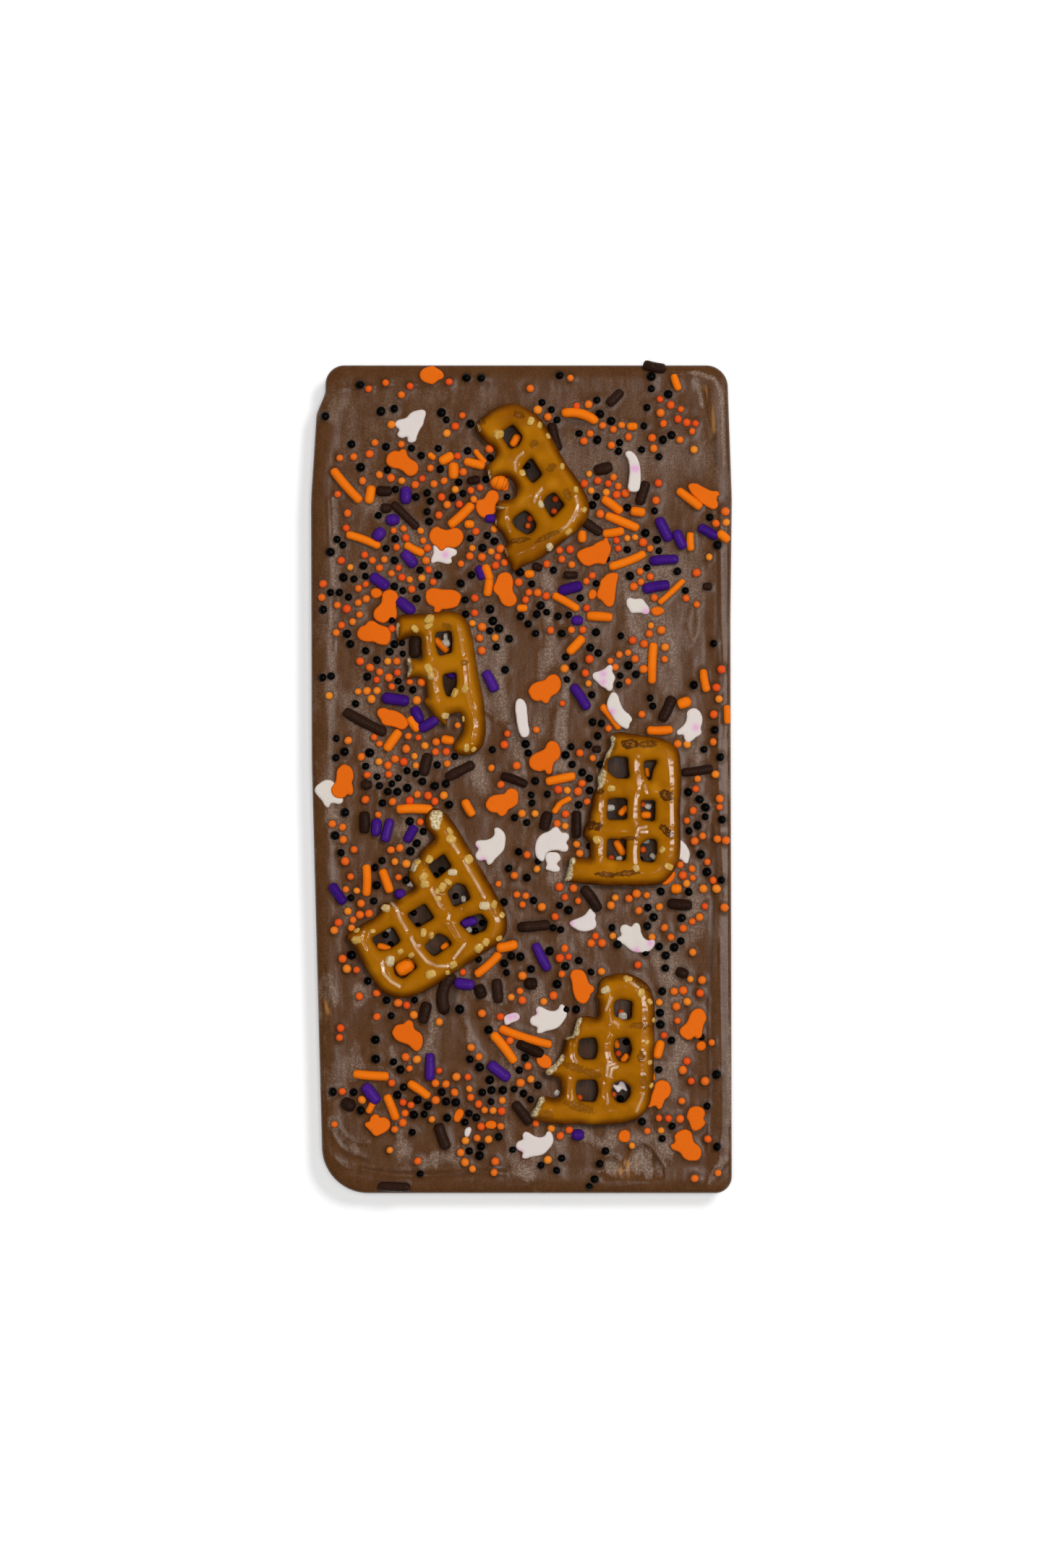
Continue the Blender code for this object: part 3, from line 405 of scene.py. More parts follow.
class Finish:
    """A surface: a Principled material and the nodes that feed it."""

    def __init__(self, name, **constants):
        self.material = bpy.data.materials.new(name)
        self.material.use_nodes = True
        self.tree = self.material.node_tree
        self.shader = self.tree.nodes["Principled BSDF"]
        for socket, value in constants.items():
            self.shader.inputs[socket.replace("_", " ")].default_value = value

    def node(self, kind, inputs=(), output=0, stops=(), **settings):
        """A new node: its settings and stops first, then the values or links of its sockets."""
        made = self.tree.nodes.new("ShaderNode" + kind)
        for name, value in settings.items():
            setattr(made, name, value)
        for index, (place, colour) in enumerate(stops):
            while len(made.color_ramp.elements) <= index:
                made.color_ramp.elements.new(1.0)
            made.color_ramp.elements[index].position = place
            made.color_ramp.elements[index].color = (*colour, 1.0)
        for name, value in dict(inputs).items():
            if isinstance(value, Tone):
                self.tree.links.new(value.socket, made.inputs[name])
            else:
                made.inputs[name].default_value = value
        return Tone(self.tree, made.outputs[output])

    def height(self):
        """The height on the object, in metres."""
        return self.node("SeparateXYZ", {0: self.node("TexCoord", output="Object")}, output="Z")

    def noise(self, size, detail=3, stretch=(1, 1, 1), rough=0.5):
        """Noise from 0 to 1, its lumps of about a size in millimetres, or longer along an axis."""
        place = self.node("TexCoord", output="Object")
        place = self.node("Mapping", {"Vector": place, "Scale": stretch})
        return self.node("TexNoise", {"Vector": place, "Scale": 1000 / size, "Detail": detail,
                                      "Roughness": rough})

    def painted(self, name):
        """A value that was painted on the mesh."""
        return self.node("Attribute", output="Fac", attribute_name=name)

    def step(self, tone, low, high):
        """0 below one value, 1 above the other, and a soft step between them."""
        return self.node("MapRange", {"Value": tone, "From Min": low, "From Max": high},
                         interpolation_type="SMOOTHSTEP")

    def blend(self, share, first, second):
        """One colour turning into another."""
        pair = [colour if isinstance(colour, Tone) else (*colour, 1.0) for colour in (first, second)]
        return self.node("Mix", {0: share, 6: pair[0], 7: pair[1]}, output=2, data_type="RGBA")

    def layers(self, colour, *others):
        """A colour under others, each given by its share and its colour."""
        for share, above in others:
            colour = self.blend(share, colour, above)
        return colour

    def bumps(self, tone, depth, under=None):
        """A surface raised by a tone, by a depth in millimetres."""
        inputs = {"Height": tone, "Strength": 1.0, "Distance": depth / 1000}
        if under:
            inputs["Normal"] = under
        return self.node("Bump", inputs)

    def feed(self, **tones):
        """Links tones to the shader's sockets."""
        for socket, tone in tones.items():
            self.tree.links.new(tone.socket, self.shader.inputs[socket.replace("_", " ")])


# Colours of the chocolate: deep and warm where it is bare, under satin with painted sheen, on
# specks of painted sheen, painted shade in the hollows, in the folds and at the feet of the
# toppings, and a painted amber glint where light falls through it
CHOCOLATE_DEEP, CHOCOLATE_WARM = (0.081, 0.03, 0.008), (0.098, 0.0372, 0.011)
SATIN_SHEEN, SATIN_SHEEN_SPECKS = (0.192, 0.124, 0.09), (0.34, 0.25, 0.19)
PAINTED_HOLLOW_SHADE, PAINTED_AMBER_GLINT = (0.019, 0.0072, 0.002), (0.45, 0.2, 0.05)

chocolate = Finish("milk_chocolate", IOR=1.45, Specular_IOR_Level=0.31)
streaks = chocolate.noise(0.9, stretch=(1, 0.14, 1))
mottle = chocolate.noise(2.2, detail=5, stretch=(1, 0.6, 1), rough=0.6)
speck = chocolate.noise(0.32, detail=2, rough=0.6)
hollow_shade = chocolate.painted("hollow")
satin_sheen_tone = (streaks - 0.5) * 0.9 + (mottle - 0.5) * 1.1
satin_sheen_tone = chocolate.painted("satin") + satin_sheen_tone * (0.35 + chocolate.painted("mottled") * 0.65)
satin_sheen_share = chocolate.step(satin_sheen_tone, 0.22, 0.95)
# Painted sheen on the satin and its specks, painted shade in the hollows and painted amber glints
surface = chocolate.layers(
    chocolate.blend(chocolate.step(mottle, 0.3, 0.7), CHOCOLATE_DEEP, CHOCOLATE_WARM),
    (satin_sheen_share * 0.66, SATIN_SHEEN),
    (chocolate.step(speck, 0.46, 0.60) * (0.05 + satin_sheen_share * 0.60), SATIN_SHEEN_SPECKS),
    (hollow_shade * 0.95, PAINTED_HOLLOW_SHADE),
    (chocolate.painted("amber") * chocolate.step(streaks, 0.4, 0.62), PAINTED_AMBER_GLINT))
relief = chocolate.bumps(speck, 0.010, chocolate.bumps(streaks, 0.02))
relief = chocolate.bumps(chocolate.noise(1.5, detail=4, stretch=(1, 0.45, 1)), 0.05, relief)
chocolate.feed(Base_Color=surface, Normal=relief,
               Roughness=0.26 + satin_sheen_share * 0.20 + (speck - 0.5) * 0.10 + hollow_shade * 0.15)
bar.data.materials.append(chocolate.material)
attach(bar, "root")
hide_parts("chocolate_bar")


# The pretzels: five broken pieces of a waffle pretzel, baked and glazed. The strands of dough
# ran together in the oven into one web with small round-cornered windows, highest along the
# strands. The broken ends show pale crumb.

# Height of the underside, of the web and of the crest along its strands, and in pixels the reach
# of its round at the outside and at the windows
PRETZEL_BOTTOM = 5.9
WEB_HEIGHT = 3.55
CREST = 0.42
ROUND_REACH = 13
WINDOW_REACH = 8
# What the shaping takes off every edge, in pixels, and the voxels of the mesh, in metres
GROWTH = 1.0
PRETZEL_VOXEL = 0.00022
# The strand width, in pixels, that has the full crest
FULL_STRAND = 32

# Each piece: its outline, its windows, and the middle lines of its strands with their widths
PRETZELS = {
    "pretzel_top": (
        ((663, 583), (672, 575), (682, 567), (695, 562), (708, 560), (721, 563), (733, 569), (744, 578),
         (752, 588), (762, 604), (772, 624), (782, 642), (794, 659), (804, 674), (811, 689), (814, 705),
         (810, 719), (800, 731), (788, 741), (772, 753), (756, 765), (740, 775), (723, 782), (711, 789),
         (708, 782), (702, 773), (697, 765), (699, 758), (702, 753), (699, 745), (694, 737), (688, 731),
         (684, 724), (686, 717), (688, 708), (687, 699), (689, 694), (697, 693), (709, 691), (715, 684),
         (714, 672), (707, 662), (697, 658), (686, 661), (680, 666), (676, 660), (673, 650), (675, 644),
         (682, 639), (687, 633), (687, 625), (682, 618), (672, 610), (663, 600), (658, 593)),
        (((692, 600), (709, 587), (723, 604), (717, 618), (705, 622), (698, 610)), ((735, 633), (750, 657),
         (737, 669), (721, 650), (727, 641)), ((766, 681), (781, 699), (763, 717), (751, 696), (755, 688)),
         ((726, 706), (734, 712), (742, 726), (738, 735), (729, 740), (713, 730), (708, 721), (714, 714))),
        ((32, ((672, 586), (700, 577), (722, 581), (741, 598), (757, 624), (776, 652), (794, 682),
         (798, 702), (785, 722), (757, 745), (712, 768))), (20, ((684, 600), (693, 625), (712, 652),
         (742, 690), (757, 732))), (20, ((684, 646), (722, 628), (752, 612))), (22, ((690, 706), (712, 697),
         (751, 674), (780, 660)))),
    ),
    "pretzel_left": (
        ((551, 855), (560, 851), (580, 850), (600, 849), (615, 846), (628, 847), (638, 852), (645, 860),
         (650, 872), (653, 885), (656, 905), (660, 930), (664, 950), (668, 970), (669, 985), (670, 1000),
         (670, 1012), (668, 1025), (663, 1035), (655, 1041), (645, 1044), (636, 1043), (629, 1039),
         (627, 1034), (629, 1028), (634, 1022), (639, 1015), (642, 1007), (642, 998), (640, 990),
         (636, 985), (628, 985), (621, 988), (617, 994), (617, 1003), (610, 998), (602, 990), (595, 980),
         (588, 972), (588, 968), (592, 965), (592, 957), (591, 948), (589, 941), (584, 937), (575, 936),
         (563, 938), (564, 932), (566, 927), (567, 922), (565, 918), (563, 913), (570, 912), (582, 912),
         (584, 905), (583, 895), (583, 885), (580, 880), (572, 879), (562, 881), (555, 884), (551, 886),
         (550, 878), (549, 868)),
        (((602, 875), (624, 872), (626, 885), (625, 903), (607, 907), (602, 890)), ((612, 933), (631, 930),
         (632, 945), (627, 962), (618, 964), (613, 950))),
        ((28, ((551, 868), (590, 863), (618, 860), (636, 869), (640, 892), (645, 935), (651, 975),
         (656, 1003), (652, 1021), (640, 1032))), (18, ((592, 868), (596, 915), (602, 968))), (20,
         ((565, 925), (600, 920), (640, 918))), (16, ((605, 976), (625, 974), (652, 972)))),
    ),
    "pretzel_right": (
        ((850, 1015), (858, 1013), (870, 1015), (880, 1016), (890, 1018), (900, 1019), (912, 1021),
         (925, 1027), (935, 1036), (939, 1047), (940, 1060), (941, 1080), (940, 1100), (939, 1120),
         (939, 1150), (940, 1170), (938, 1188), (931, 1203), (924, 1213), (915, 1220), (900, 1223),
         (870, 1224), (840, 1223), (810, 1221), (790, 1219), (781, 1217), (784, 1210), (785, 1203),
         (787, 1195), (788, 1189), (792, 1186), (800, 1187), (810, 1187), (816, 1187), (817, 1180),
         (817, 1170), (816, 1164), (811, 1159), (808, 1154), (809, 1147), (812, 1140), (816, 1134),
         (817, 1125), (819, 1113), (821, 1103), (824, 1094), (828, 1087), (827, 1075), (832, 1065),
         (835, 1056), (838, 1047), (840, 1041), (844, 1035), (846, 1028), (844, 1021)),
        (((840, 1052), (848, 1046), (868, 1047), (870, 1076), (852, 1076), (840, 1067)), ((890, 1053),
         (909, 1051), (903, 1064), (899, 1082), (892, 1072)), ((840, 1105), (867, 1104), (866, 1133),
         (840, 1133)), ((886, 1107), (906, 1106), (905, 1136), (887, 1133)), ((840, 1160), (866, 1160),
         (865, 1190), (839, 1187)), ((885, 1168), (896, 1160), (907, 1161), (908, 1178), (904, 1192),
         (886, 1190))),
        ((32, ((850, 1031), (880, 1032), (904, 1035), (920, 1048), (925, 1075), (925, 1120), (925, 1165),
         (921, 1190), (905, 1206), (870, 1208), (790, 1204))), (20, ((832, 1096), (829, 1115), (827, 1160),
         (827, 1200))), (20, ((880, 1036), (880, 1070), (877, 1120), (876, 1165), (875, 1204))), (20,
         ((836, 1091), (870, 1091), (915, 1095))), (20, ((822, 1148), (860, 1148), (920, 1150))), (12,
         ((846, 1036), (837, 1060), (836, 1085)))),
    ),
    "pretzel_lower_left": (
        ((601, 1118), (612, 1123), (620, 1131), (628, 1141), (636, 1153), (644, 1167), (652, 1180),
         (660, 1194), (668, 1208), (676, 1222), (684, 1236), (691, 1248), (697, 1260), (700, 1272),
         (700, 1284), (696, 1294), (688, 1303), (678, 1310), (666, 1318), (654, 1326), (642, 1334),
         (628, 1343), (615, 1352), (602, 1361), (590, 1368), (578, 1374), (565, 1378), (550, 1378),
         (538, 1375), (527, 1368), (519, 1358), (512, 1346), (505, 1335), (498, 1322), (492, 1310),
         (486, 1303), (481, 1296), (484, 1290), (491, 1286), (500, 1280), (508, 1275), (517, 1270),
         (524, 1264), (528, 1258), (528, 1252), (533, 1250), (540, 1248), (548, 1246), (556, 1242),
         (564, 1236), (572, 1230), (574, 1227), (571, 1222), (567, 1215), (566, 1208), (569, 1202),
         (570, 1196), (574, 1190), (580, 1187), (583, 1180), (588, 1173), (595, 1167), (600, 1161),
         (600, 1157), (595, 1151), (590, 1145), (589, 1137), (590, 1128), (594, 1121)),
        (((614, 1180), (625, 1198), (603, 1215), (592, 1197)), ((619, 1233), (631, 1221), (643, 1224),
         (651, 1243), (628, 1254)), ((588, 1249), (601, 1269), (577, 1283), (563, 1264)), ((635, 1276),
         (643, 1269), (666, 1263), (675, 1274), (671, 1286), (653, 1293)), ((606, 1290), (618, 1295),
         (626, 1305), (600, 1322), (587, 1308)), ((514, 1297), (543, 1281), (554, 1301), (538, 1312),
         (525, 1314)), ((544, 1334), (567, 1322), (578, 1337), (558, 1353), (547, 1348))),
        ((29, ((604, 1136), (627, 1172), (655, 1216), (680, 1256), (686, 1275), (676, 1294), (650, 1314),
         (615, 1336), (580, 1357), (556, 1363), (540, 1354), (518, 1325), (498, 1294))), (20, ((583, 1207),
         (608, 1251), (630, 1291), (642, 1312))), (20, ((540, 1256), (557, 1282), (583, 1322),
         (598, 1340))), (18, ((628, 1166), (602, 1181), (584, 1198))), (18, ((652, 1203), (620, 1219),
         (590, 1234), (555, 1250), (525, 1268), (500, 1289))), (18, ((674, 1242), (644, 1258), (594, 1286),
         (546, 1318), (524, 1330)))),
    ),
    "pretzel_lower_right": (
        ((836, 1352), (845, 1349), (855, 1347), (866, 1347), (878, 1350), (888, 1356), (896, 1364),
         (901, 1375), (903, 1388), (904, 1402), (903, 1418), (904, 1432), (904, 1445), (903, 1460),
         (903, 1475), (903, 1490), (901, 1505), (899, 1518), (895, 1530), (888, 1540), (880, 1546),
         (868, 1550), (850, 1553), (825, 1554), (800, 1553), (775, 1553), (755, 1551), (740, 1547),
         (734, 1543), (736, 1537), (741, 1530), (745, 1522), (748, 1517), (755, 1517), (765, 1519),
         (772, 1518), (776, 1512), (777, 1503), (776, 1494), (772, 1489), (764, 1487), (757, 1486),
         (754, 1482), (758, 1478), (765, 1474), (772, 1466), (776, 1460), (780, 1450), (782, 1442),
         (783, 1436), (788, 1434), (792, 1432), (794, 1427), (796, 1420), (798, 1414), (801, 1408),
         (810, 1406), (820, 1407), (826, 1406), (828, 1398), (829, 1389), (828, 1382), (825, 1378),
         (828, 1374), (829, 1366), (831, 1358)),
        (((849, 1385), (856, 1381), (874, 1384), (873, 1408), (864, 1410), (850, 1405)), ((801, 1436),
         (823, 1434), (827, 1448), (823, 1464), (806, 1464), (799, 1456)), ((850, 1436), (869, 1434),
         (873, 1450), (868, 1468), (855, 1467), (848, 1452)), ((798, 1494), (824, 1492), (827, 1508),
         (823, 1523), (800, 1521), (796, 1508)), ((848, 1497), (860, 1493), (872, 1502), (871, 1515),
         (863, 1524), (853, 1523), (845, 1510))),
        ((30, ((845, 1364), (865, 1364), (881, 1371), (888, 1390), (887, 1430), (886, 1485), (883, 1512),
         (871, 1530), (850, 1538), (800, 1538), (748, 1535))), (20, ((793, 1436), (788, 1480),
         (786, 1534))), (20, ((841, 1368), (840, 1420), (838, 1470), (836, 1534))), (20, ((804, 1421),
         (840, 1421), (885, 1421))), (20, ((766, 1479), (800, 1479), (885, 1479)))),
    ),
}
# Where broken ends show crumb: half width and route in pixels
CRUMB = (
    (3, ((550, 864), (550, 880))), (3.5, ((566, 914), (567, 924), (564, 934))),
    (5, ((847, 1021), (845, 1032), (839, 1043))), (3.5, ((834, 1050), (830, 1063))),
    (7.5, ((831, 1070), (827, 1084))), (8, ((788, 1191), (785, 1201), (782, 1212))),
    (10, ((601, 1129), (602, 1139))), (6, ((575, 1188), (571, 1200))), (7, ((799, 1409), (794, 1425))),
    (3.5, ((782, 1434), (792, 1432))), (8.5, ((774, 1464), (765, 1472), (755, 1482))),
    (7.5, ((747, 1518), (742, 1528), (737, 1539))), (1.2, ((661, 588), (664, 596))),
    (1.2, ((676, 652), (679, 664))), (1.2, ((687, 702), (697, 703))), (1.2, ((685, 716), (686, 727))),
    (1.2, ((698, 758), (703, 772))),
)
# Lumps of the dough, fine, coarse and broad, in metres
LUMPS = (0.0005, 0.0020, 0.0045)
# Brown blisters in the glaze: middle, length, width, turn clockwise in degrees, how burnt
BLISTERS = (
    (664, 583, 12, 6, 20, 0.5), (717, 575, 13, 6, 10, 0.6), (738, 615, 11, 6, -35, 0.5),
    (762, 648, 12, 6, -30, 0.5), (785, 685, 13, 7, 60, 0.4), (718, 748, 24, 5, -8, 0.7),
    (758, 742, 30, 5, -25, 0.6), (692, 704, 12, 5, 0, 0.5), (870, 1029, 18, 9, -5, 1.0),
    (894, 1029, 20, 7, -5, 0.8), (822, 1142, 16, 8, 5, 1.0), (870, 1159, 16, 4, 0, 0.8),
    (921, 1100, 16, 9, 30, 1.0), (921, 1149, 18, 7, 40, 1.0), (838, 1209, 22, 5, 5, 0.9),
    (866, 1207, 26, 5, -5, 0.9), (830, 1094, 10, 5, 0, 0.9), (795, 1475, 26, 7, 18, 0.45),
    (818, 1483, 22, 7, 20, 0.45), (800, 1529, 34, 8, 18, 0.45), (886, 1460, 8, 10, 0, 0.6),
    (755, 1540, 18, 8, 0, 0.35), (883, 1417, 22, 6, 0, 0.5), (888, 1362, 20, 6, 40, 0.6),
    (600, 1165, 10, 5, -40, 0.4), (590, 1193, 10, 5, -40, 0.4), (618, 866, 12, 5, 10, 0.5),
    (642, 917, 8, 5, 0, 0.5), (890, 1495, 7, 14, 0, 0.4), (595, 1345, 8, 4, 0, 0.3),
)
# The height from which there are blisters
BLISTERS_FROM = 7.4
# Gleams along the low ridges where the glaze ran together, and how far they reach to the sides:
# the smooth glaze, the turned surface and the painted highlight on the crest
GLEAMS = (
    ((723, 628), (716, 633), (712, 641), (713, 650)), ((749, 678), (743, 684), (739, 694)),
    ((701, 705), (700, 714), (702, 725), (705, 734)),
    ((796, 688), (799, 699), (796, 710), (790, 720), (784, 728), (776, 734)),
    ((634, 866), (638, 885), (641, 905)), ((642, 915), (644, 935), (645, 950)),
    ((646, 958), (650, 972), (656, 988), (658, 1005), (653, 1028)), ((591, 882), (594, 904)),
    ((601, 944), (603, 956)), ((922, 1038), (927, 1052), (928, 1084)), ((928, 1110), (929, 1140)),
    ((929, 1150), (928, 1200)), ((879, 1053), (879, 1066)),
    ((887, 1080), (883, 1092), (879, 1104), (877, 1130)), ((891, 1086), (894, 1096)),
    ((880, 1154), (883, 1145), (893, 1143)), ((886, 1150), (894, 1150)), ((830, 1102), (829, 1120)),
    ((829, 1172), (829, 1180)), ((879, 1165), (877, 1178), (878, 1192)), ((889, 1376), (890, 1412)),
    ((889, 1424), (889, 1458)), ((887, 1463), (888, 1502)), ((888, 1515), (880, 1535)),
    ((791, 1432), (788, 1445), (790, 1462)), ((845, 1430), (838, 1440), (838, 1455), (842, 1470)),
    ((839, 1486), (840, 1472), (850, 1470)), ((844, 1486), (846, 1476), (853, 1474)),
    ((788, 1490), (785, 1515)), ((835, 1497), (834, 1515)), ((845, 1379), (838, 1395)),
    ((871, 1357), (882, 1364)), ((849, 1412), (855, 1416)), ((622, 1160), (634, 1178)),
    ((642, 1190), (650, 1205), (662, 1225), (670, 1240)),
    ((678, 1258), (686, 1267), (687, 1280), (682, 1293)),
    ((541, 1247), (549, 1256), (554, 1270), (563, 1285)),
    ((569, 1296), (577, 1312), (590, 1328), (604, 1335), (620, 1335)),
    ((504, 1288), (500, 1298), (508, 1312)), ((529, 1331), (531, 1345), (541, 1356), (553, 1363)),
    ((597, 1230), (603, 1240), (609, 1252)),
    ((638, 1257), (622, 1263), (619, 1276), (632, 1297), (642, 1303)), ((642, 1306), (628, 1324)),
)
GLEAM_WIDTH = 5
GLEAM_REACH = 3.2
GLINT_WIDTH = 1.4
# Where the lens and the lamp that gleams are, in metres, how far up or down the lamp a gleam may
# come from, and the turn of the surface for each metre
CAMERA_HEIGHT = 1.0
GLEAM_LAMP = (0.64, 0.0, 1.22)
LAMP_REACH = 0.46
LAMP_TURN = 0.384
# Painted soft highlights, where the glaze is paler, with the middle of the piece that is paler all
# over, and where it is darker: middle x and y, and reach
SOFT_HIGHLIGHT_SPOTS = (
    (684, 598, 9), (727, 597, 9), (690, 640, 11), (749, 632, 9), (765, 671, 9), (787, 733, 9),
    (720, 690, 9), (735, 770, 10), (893, 1440, 8), (884, 1528, 9), (838, 1368, 10), (820, 1545, 10),
    (855, 1410, 8), (826, 1130, 9), (845, 1195, 9), (905, 1090, 9), (893, 1035, 8), (560, 1240, 8),
    (640, 1345, 10), (590, 1210, 9), (520, 1340, 9),
)
PALE_PIECE = (620, 940, 60)
DARK_SPOTS = ((712, 570, 26), (735, 765, 34))


def smooth_loop(corners, grow, steps=4):
    """A closed row of places that runs smoothly through some corners, a little outside them."""
    corners = np.array(corners, dtype=float)
    along = np.roll(corners, -1, axis=0) - np.roll(corners, 1, axis=0)
    outward = np.stack([along[:, 1], -along[:, 0]], axis=1) / np.linalg.norm(along, axis=1)[:, None]
    corners += outward * grow
    before, after, beyond = (np.roll(corners, shift, axis=0) for shift in (1, -1, -2))
    places = []
    for t in np.arange(steps) / steps:
        places.append(0.5 * (2 * corners + (after - before) * t
                             + (2 * before - 5 * corners + 4 * after - beyond) * t ** 2
                             + (3 * corners - before - 3 * after + beyond) * t ** 3))
    return np.stack(places, axis=1).reshape(-1, 2)


def soft_corners(corners, radius=3.5):
    """A closed row of places along straight sides between rounded corners."""
    corners = np.array(corners, dtype=float)
    places = []
    for before, corner, after in zip(np.roll(corners, 1, axis=0), corners, np.roll(corners, -1, axis=0)):
        start = corner + (before - corner) * min(radius / np.linalg.norm(before - corner), 0.45)
        stop = corner + (after - corner) * min(radius / np.linalg.norm(after - corner), 0.45)
        places += [start * (1 - t) ** 2 + 2 * corner * t * (1 - t) + stop * t ** 2 for t in (0, 0.5, 1)]
    return np.array(places)


def apply_modifier(piece, kind, **settings):
    """Adds a modifier of a kind with its settings, and applies it."""
    modifier = piece.modifiers.new(kind, kind)
    for setting, value in settings.items():
        setattr(modifier, setting, value)
    bpy.ops.object.modifier_apply(modifier=modifier.name)


def baked_piece(name, outline, windows, strands):
    """A piece of pretzel: a web cut to its outline and windows, raised along its strands."""
    loops = [smooth_loop(outline, GROWTH)] + [soft_corners(window) for window in windows]
    bpy.ops.object.select_all(action="DESELECT")
    bpy.ops.curve.primitive_bezier_circle_add()
    piece = bpy.context.object
    piece.name = "baked_" + name
    shape = piece.data
    shape.dimensions = "2D"
    shape.fill_mode = "BOTH"
    shape.extrude = WEB_HEIGHT / 2000
    shape.splines.clear()
    for loop in loops:
        line = shape.splines.new("POLY")
        line.points.add(len(loop) - 1)
        line.use_cyclic_u = True
        for point, (x, y) in zip(line.points, loop):
            point.co = (*on_bar(x, y), 1.0)
    bpy.ops.object.convert(target="MESH")
    piece = bpy.context.object
    apply_modifier(piece, "REMESH", mode="VOXEL", voxel_size=PRETZEL_VOXEL)
    raise_web(piece.data, loops, strands)
    apply_modifier(piece, "SMOOTH", iterations=5, use_x=False, use_y=False)
    roughen(piece.data, loops[0])
    bpy.ops.object.shade_smooth()
    return piece


def places_of(mesh):
    """A mesh's vertices, and their places in the photograph."""
    places = np.zeros(len(mesh.vertices) * 3)
    mesh.vertices.foreach_get("co", places)
    places = places.reshape(-1, 3)
    return places, places[:, 0] / PIXEL + PHOTO_MIDDLE[0], PHOTO_MIDDLE[1] - places[:, 1] / PIXEL


def normals_of(mesh):
    """The way that each of a mesh's vertices faces."""
    normals = np.zeros(len(mesh.vertices) * 3)
    mesh.vertices.foreach_get("normal", normals)
    return normals.reshape(-1, 3)


def paint(mesh, name, values):
    """Keeps a value at each vertex under a name, for the material to read."""
    painted = mesh.attributes.new(name, "FLOAT", "POINT")
    painted.data.foreach_set("value", np.asarray(values, dtype=np.float32))


def raise_web(mesh, loops, strands):
    """Rounds the web off towards its edges and raises it along the strands."""
    places, x, y = places_of(mesh)
    outer, inner = [np.min([route_distance(x, y, loop.tolist(), closed=True) for loop in part], axis=0)
                    for part in (loops[:1], loops[1:])]
    crest = np.zeros(len(x))
    for width, route in strands:
        strand = (width / FULL_STRAND) * bell(route_distance(x, y, route), width * 0.40)
        crest = np.maximum(crest, strand)
    outer, inner = [np.sqrt(1 - (1 - np.clip(away / reach, 0, 1)) ** 2)
                    for away, reach in ((outer, ROUND_REACH), (inner, WINDOW_REACH))]
    tall = (WEB_HEIGHT + CREST * crest) * (0.5 + 0.5 * outer) * (0.72 + 0.28 * inner)
    share = places[:, 2] * 1000 / WEB_HEIGHT + 0.5
    places[:, 2] = (PRETZEL_BOTTOM + share * tall) / 1000
    mesh.vertices.foreach_set("co", places.ravel())
    mesh.update()


def torn_crumb(x, y, fine, coarse):
    """How far each place is torn open: 0 on the glaze and 1 on the crumb."""
    crumb = np.zeros(len(x))
    for half_width, route in CRUMB:
        torn = half_width * (0.9 + 0.5 * coarse) + 1.4 * fine
        crumb = np.maximum(crumb, np.clip((torn - route_distance(x, y, route)) / 1.5, 0, 1))
    return crumb


def blistered(x, y, fine):
    """How far up a blister each place is, from 0 to 2, and how burnt."""
    blister, burn = np.zeros(len(x)), np.zeros(len(x))
    for spot_x, spot_y, length, width, turn, burnt in BLISTERS:
        cos, sin = math.cos(math.radians(turn)), math.sin(math.radians(turn))
        u = ((x - spot_x) * cos + (y - spot_y) * sin) / (length * 0.62)
        v = (-(x - spot_x) * sin + (y - spot_y) * cos) / (width * 0.72)
        swell = np.clip((1.25 + 0.45 * fine - np.hypot(u, v)) * 2.2, 0, 2)
        blister = np.maximum(blister, swell)
        burn = np.maximum(burn, burnt * (swell > 0))
    return blister, burn


def turn_to_lamp(mesh, places, x, y, edge, routes):
    """Turns the surface along the gleams to face halfway between the lamp and the lens."""
    facing = sum((spot - places) / np.linalg.norm(spot - places, axis=1)[:, None]
                 for spot in (np.array(GLEAM_LAMP), np.array((0, 0, CAMERA_HEIGHT))))
    # A second, weaker pass makes up for what the mesh's own roundness undid
    for part in (1, 0.6):
        mesh.update()
        normals = normals_of(mesh)
        turning = normals[:, :2] / np.maximum(normals[:, 2:], 0.3) - facing[:, :2] / facing[:, 2:]
        turning = np.clip(turning, -0.5, 0.5) * np.clip((edge - 3) / 2, 0, 1)[:, None]
        rise = np.zeros(len(x))
        for route in routes:
            across, down = route_offset(x, y, route)
            away = np.hypot(across, down)
            # The lamp is long, so that a slanting route can meet it above or below its middle
            along = turning[:, 0] * down + turning[:, 1] * across
            spot = along * across / (LAMP_TURN * (across ** 2 + 0.001 * away ** 2 + 1e-9))
            spot = np.clip(spot, -LAMP_REACH, LAMP_REACH)
            turned = turning[:, 0] * across - (turning[:, 1] - LAMP_TURN * spot) * down
            rise += turned * PIXEL * np.exp(-(away / GLEAM_REACH) ** 4)
        places[:, 2] += part * rise * (normals[:, 2] > 0.3)
        mesh.vertices.foreach_set("co", places.ravel())


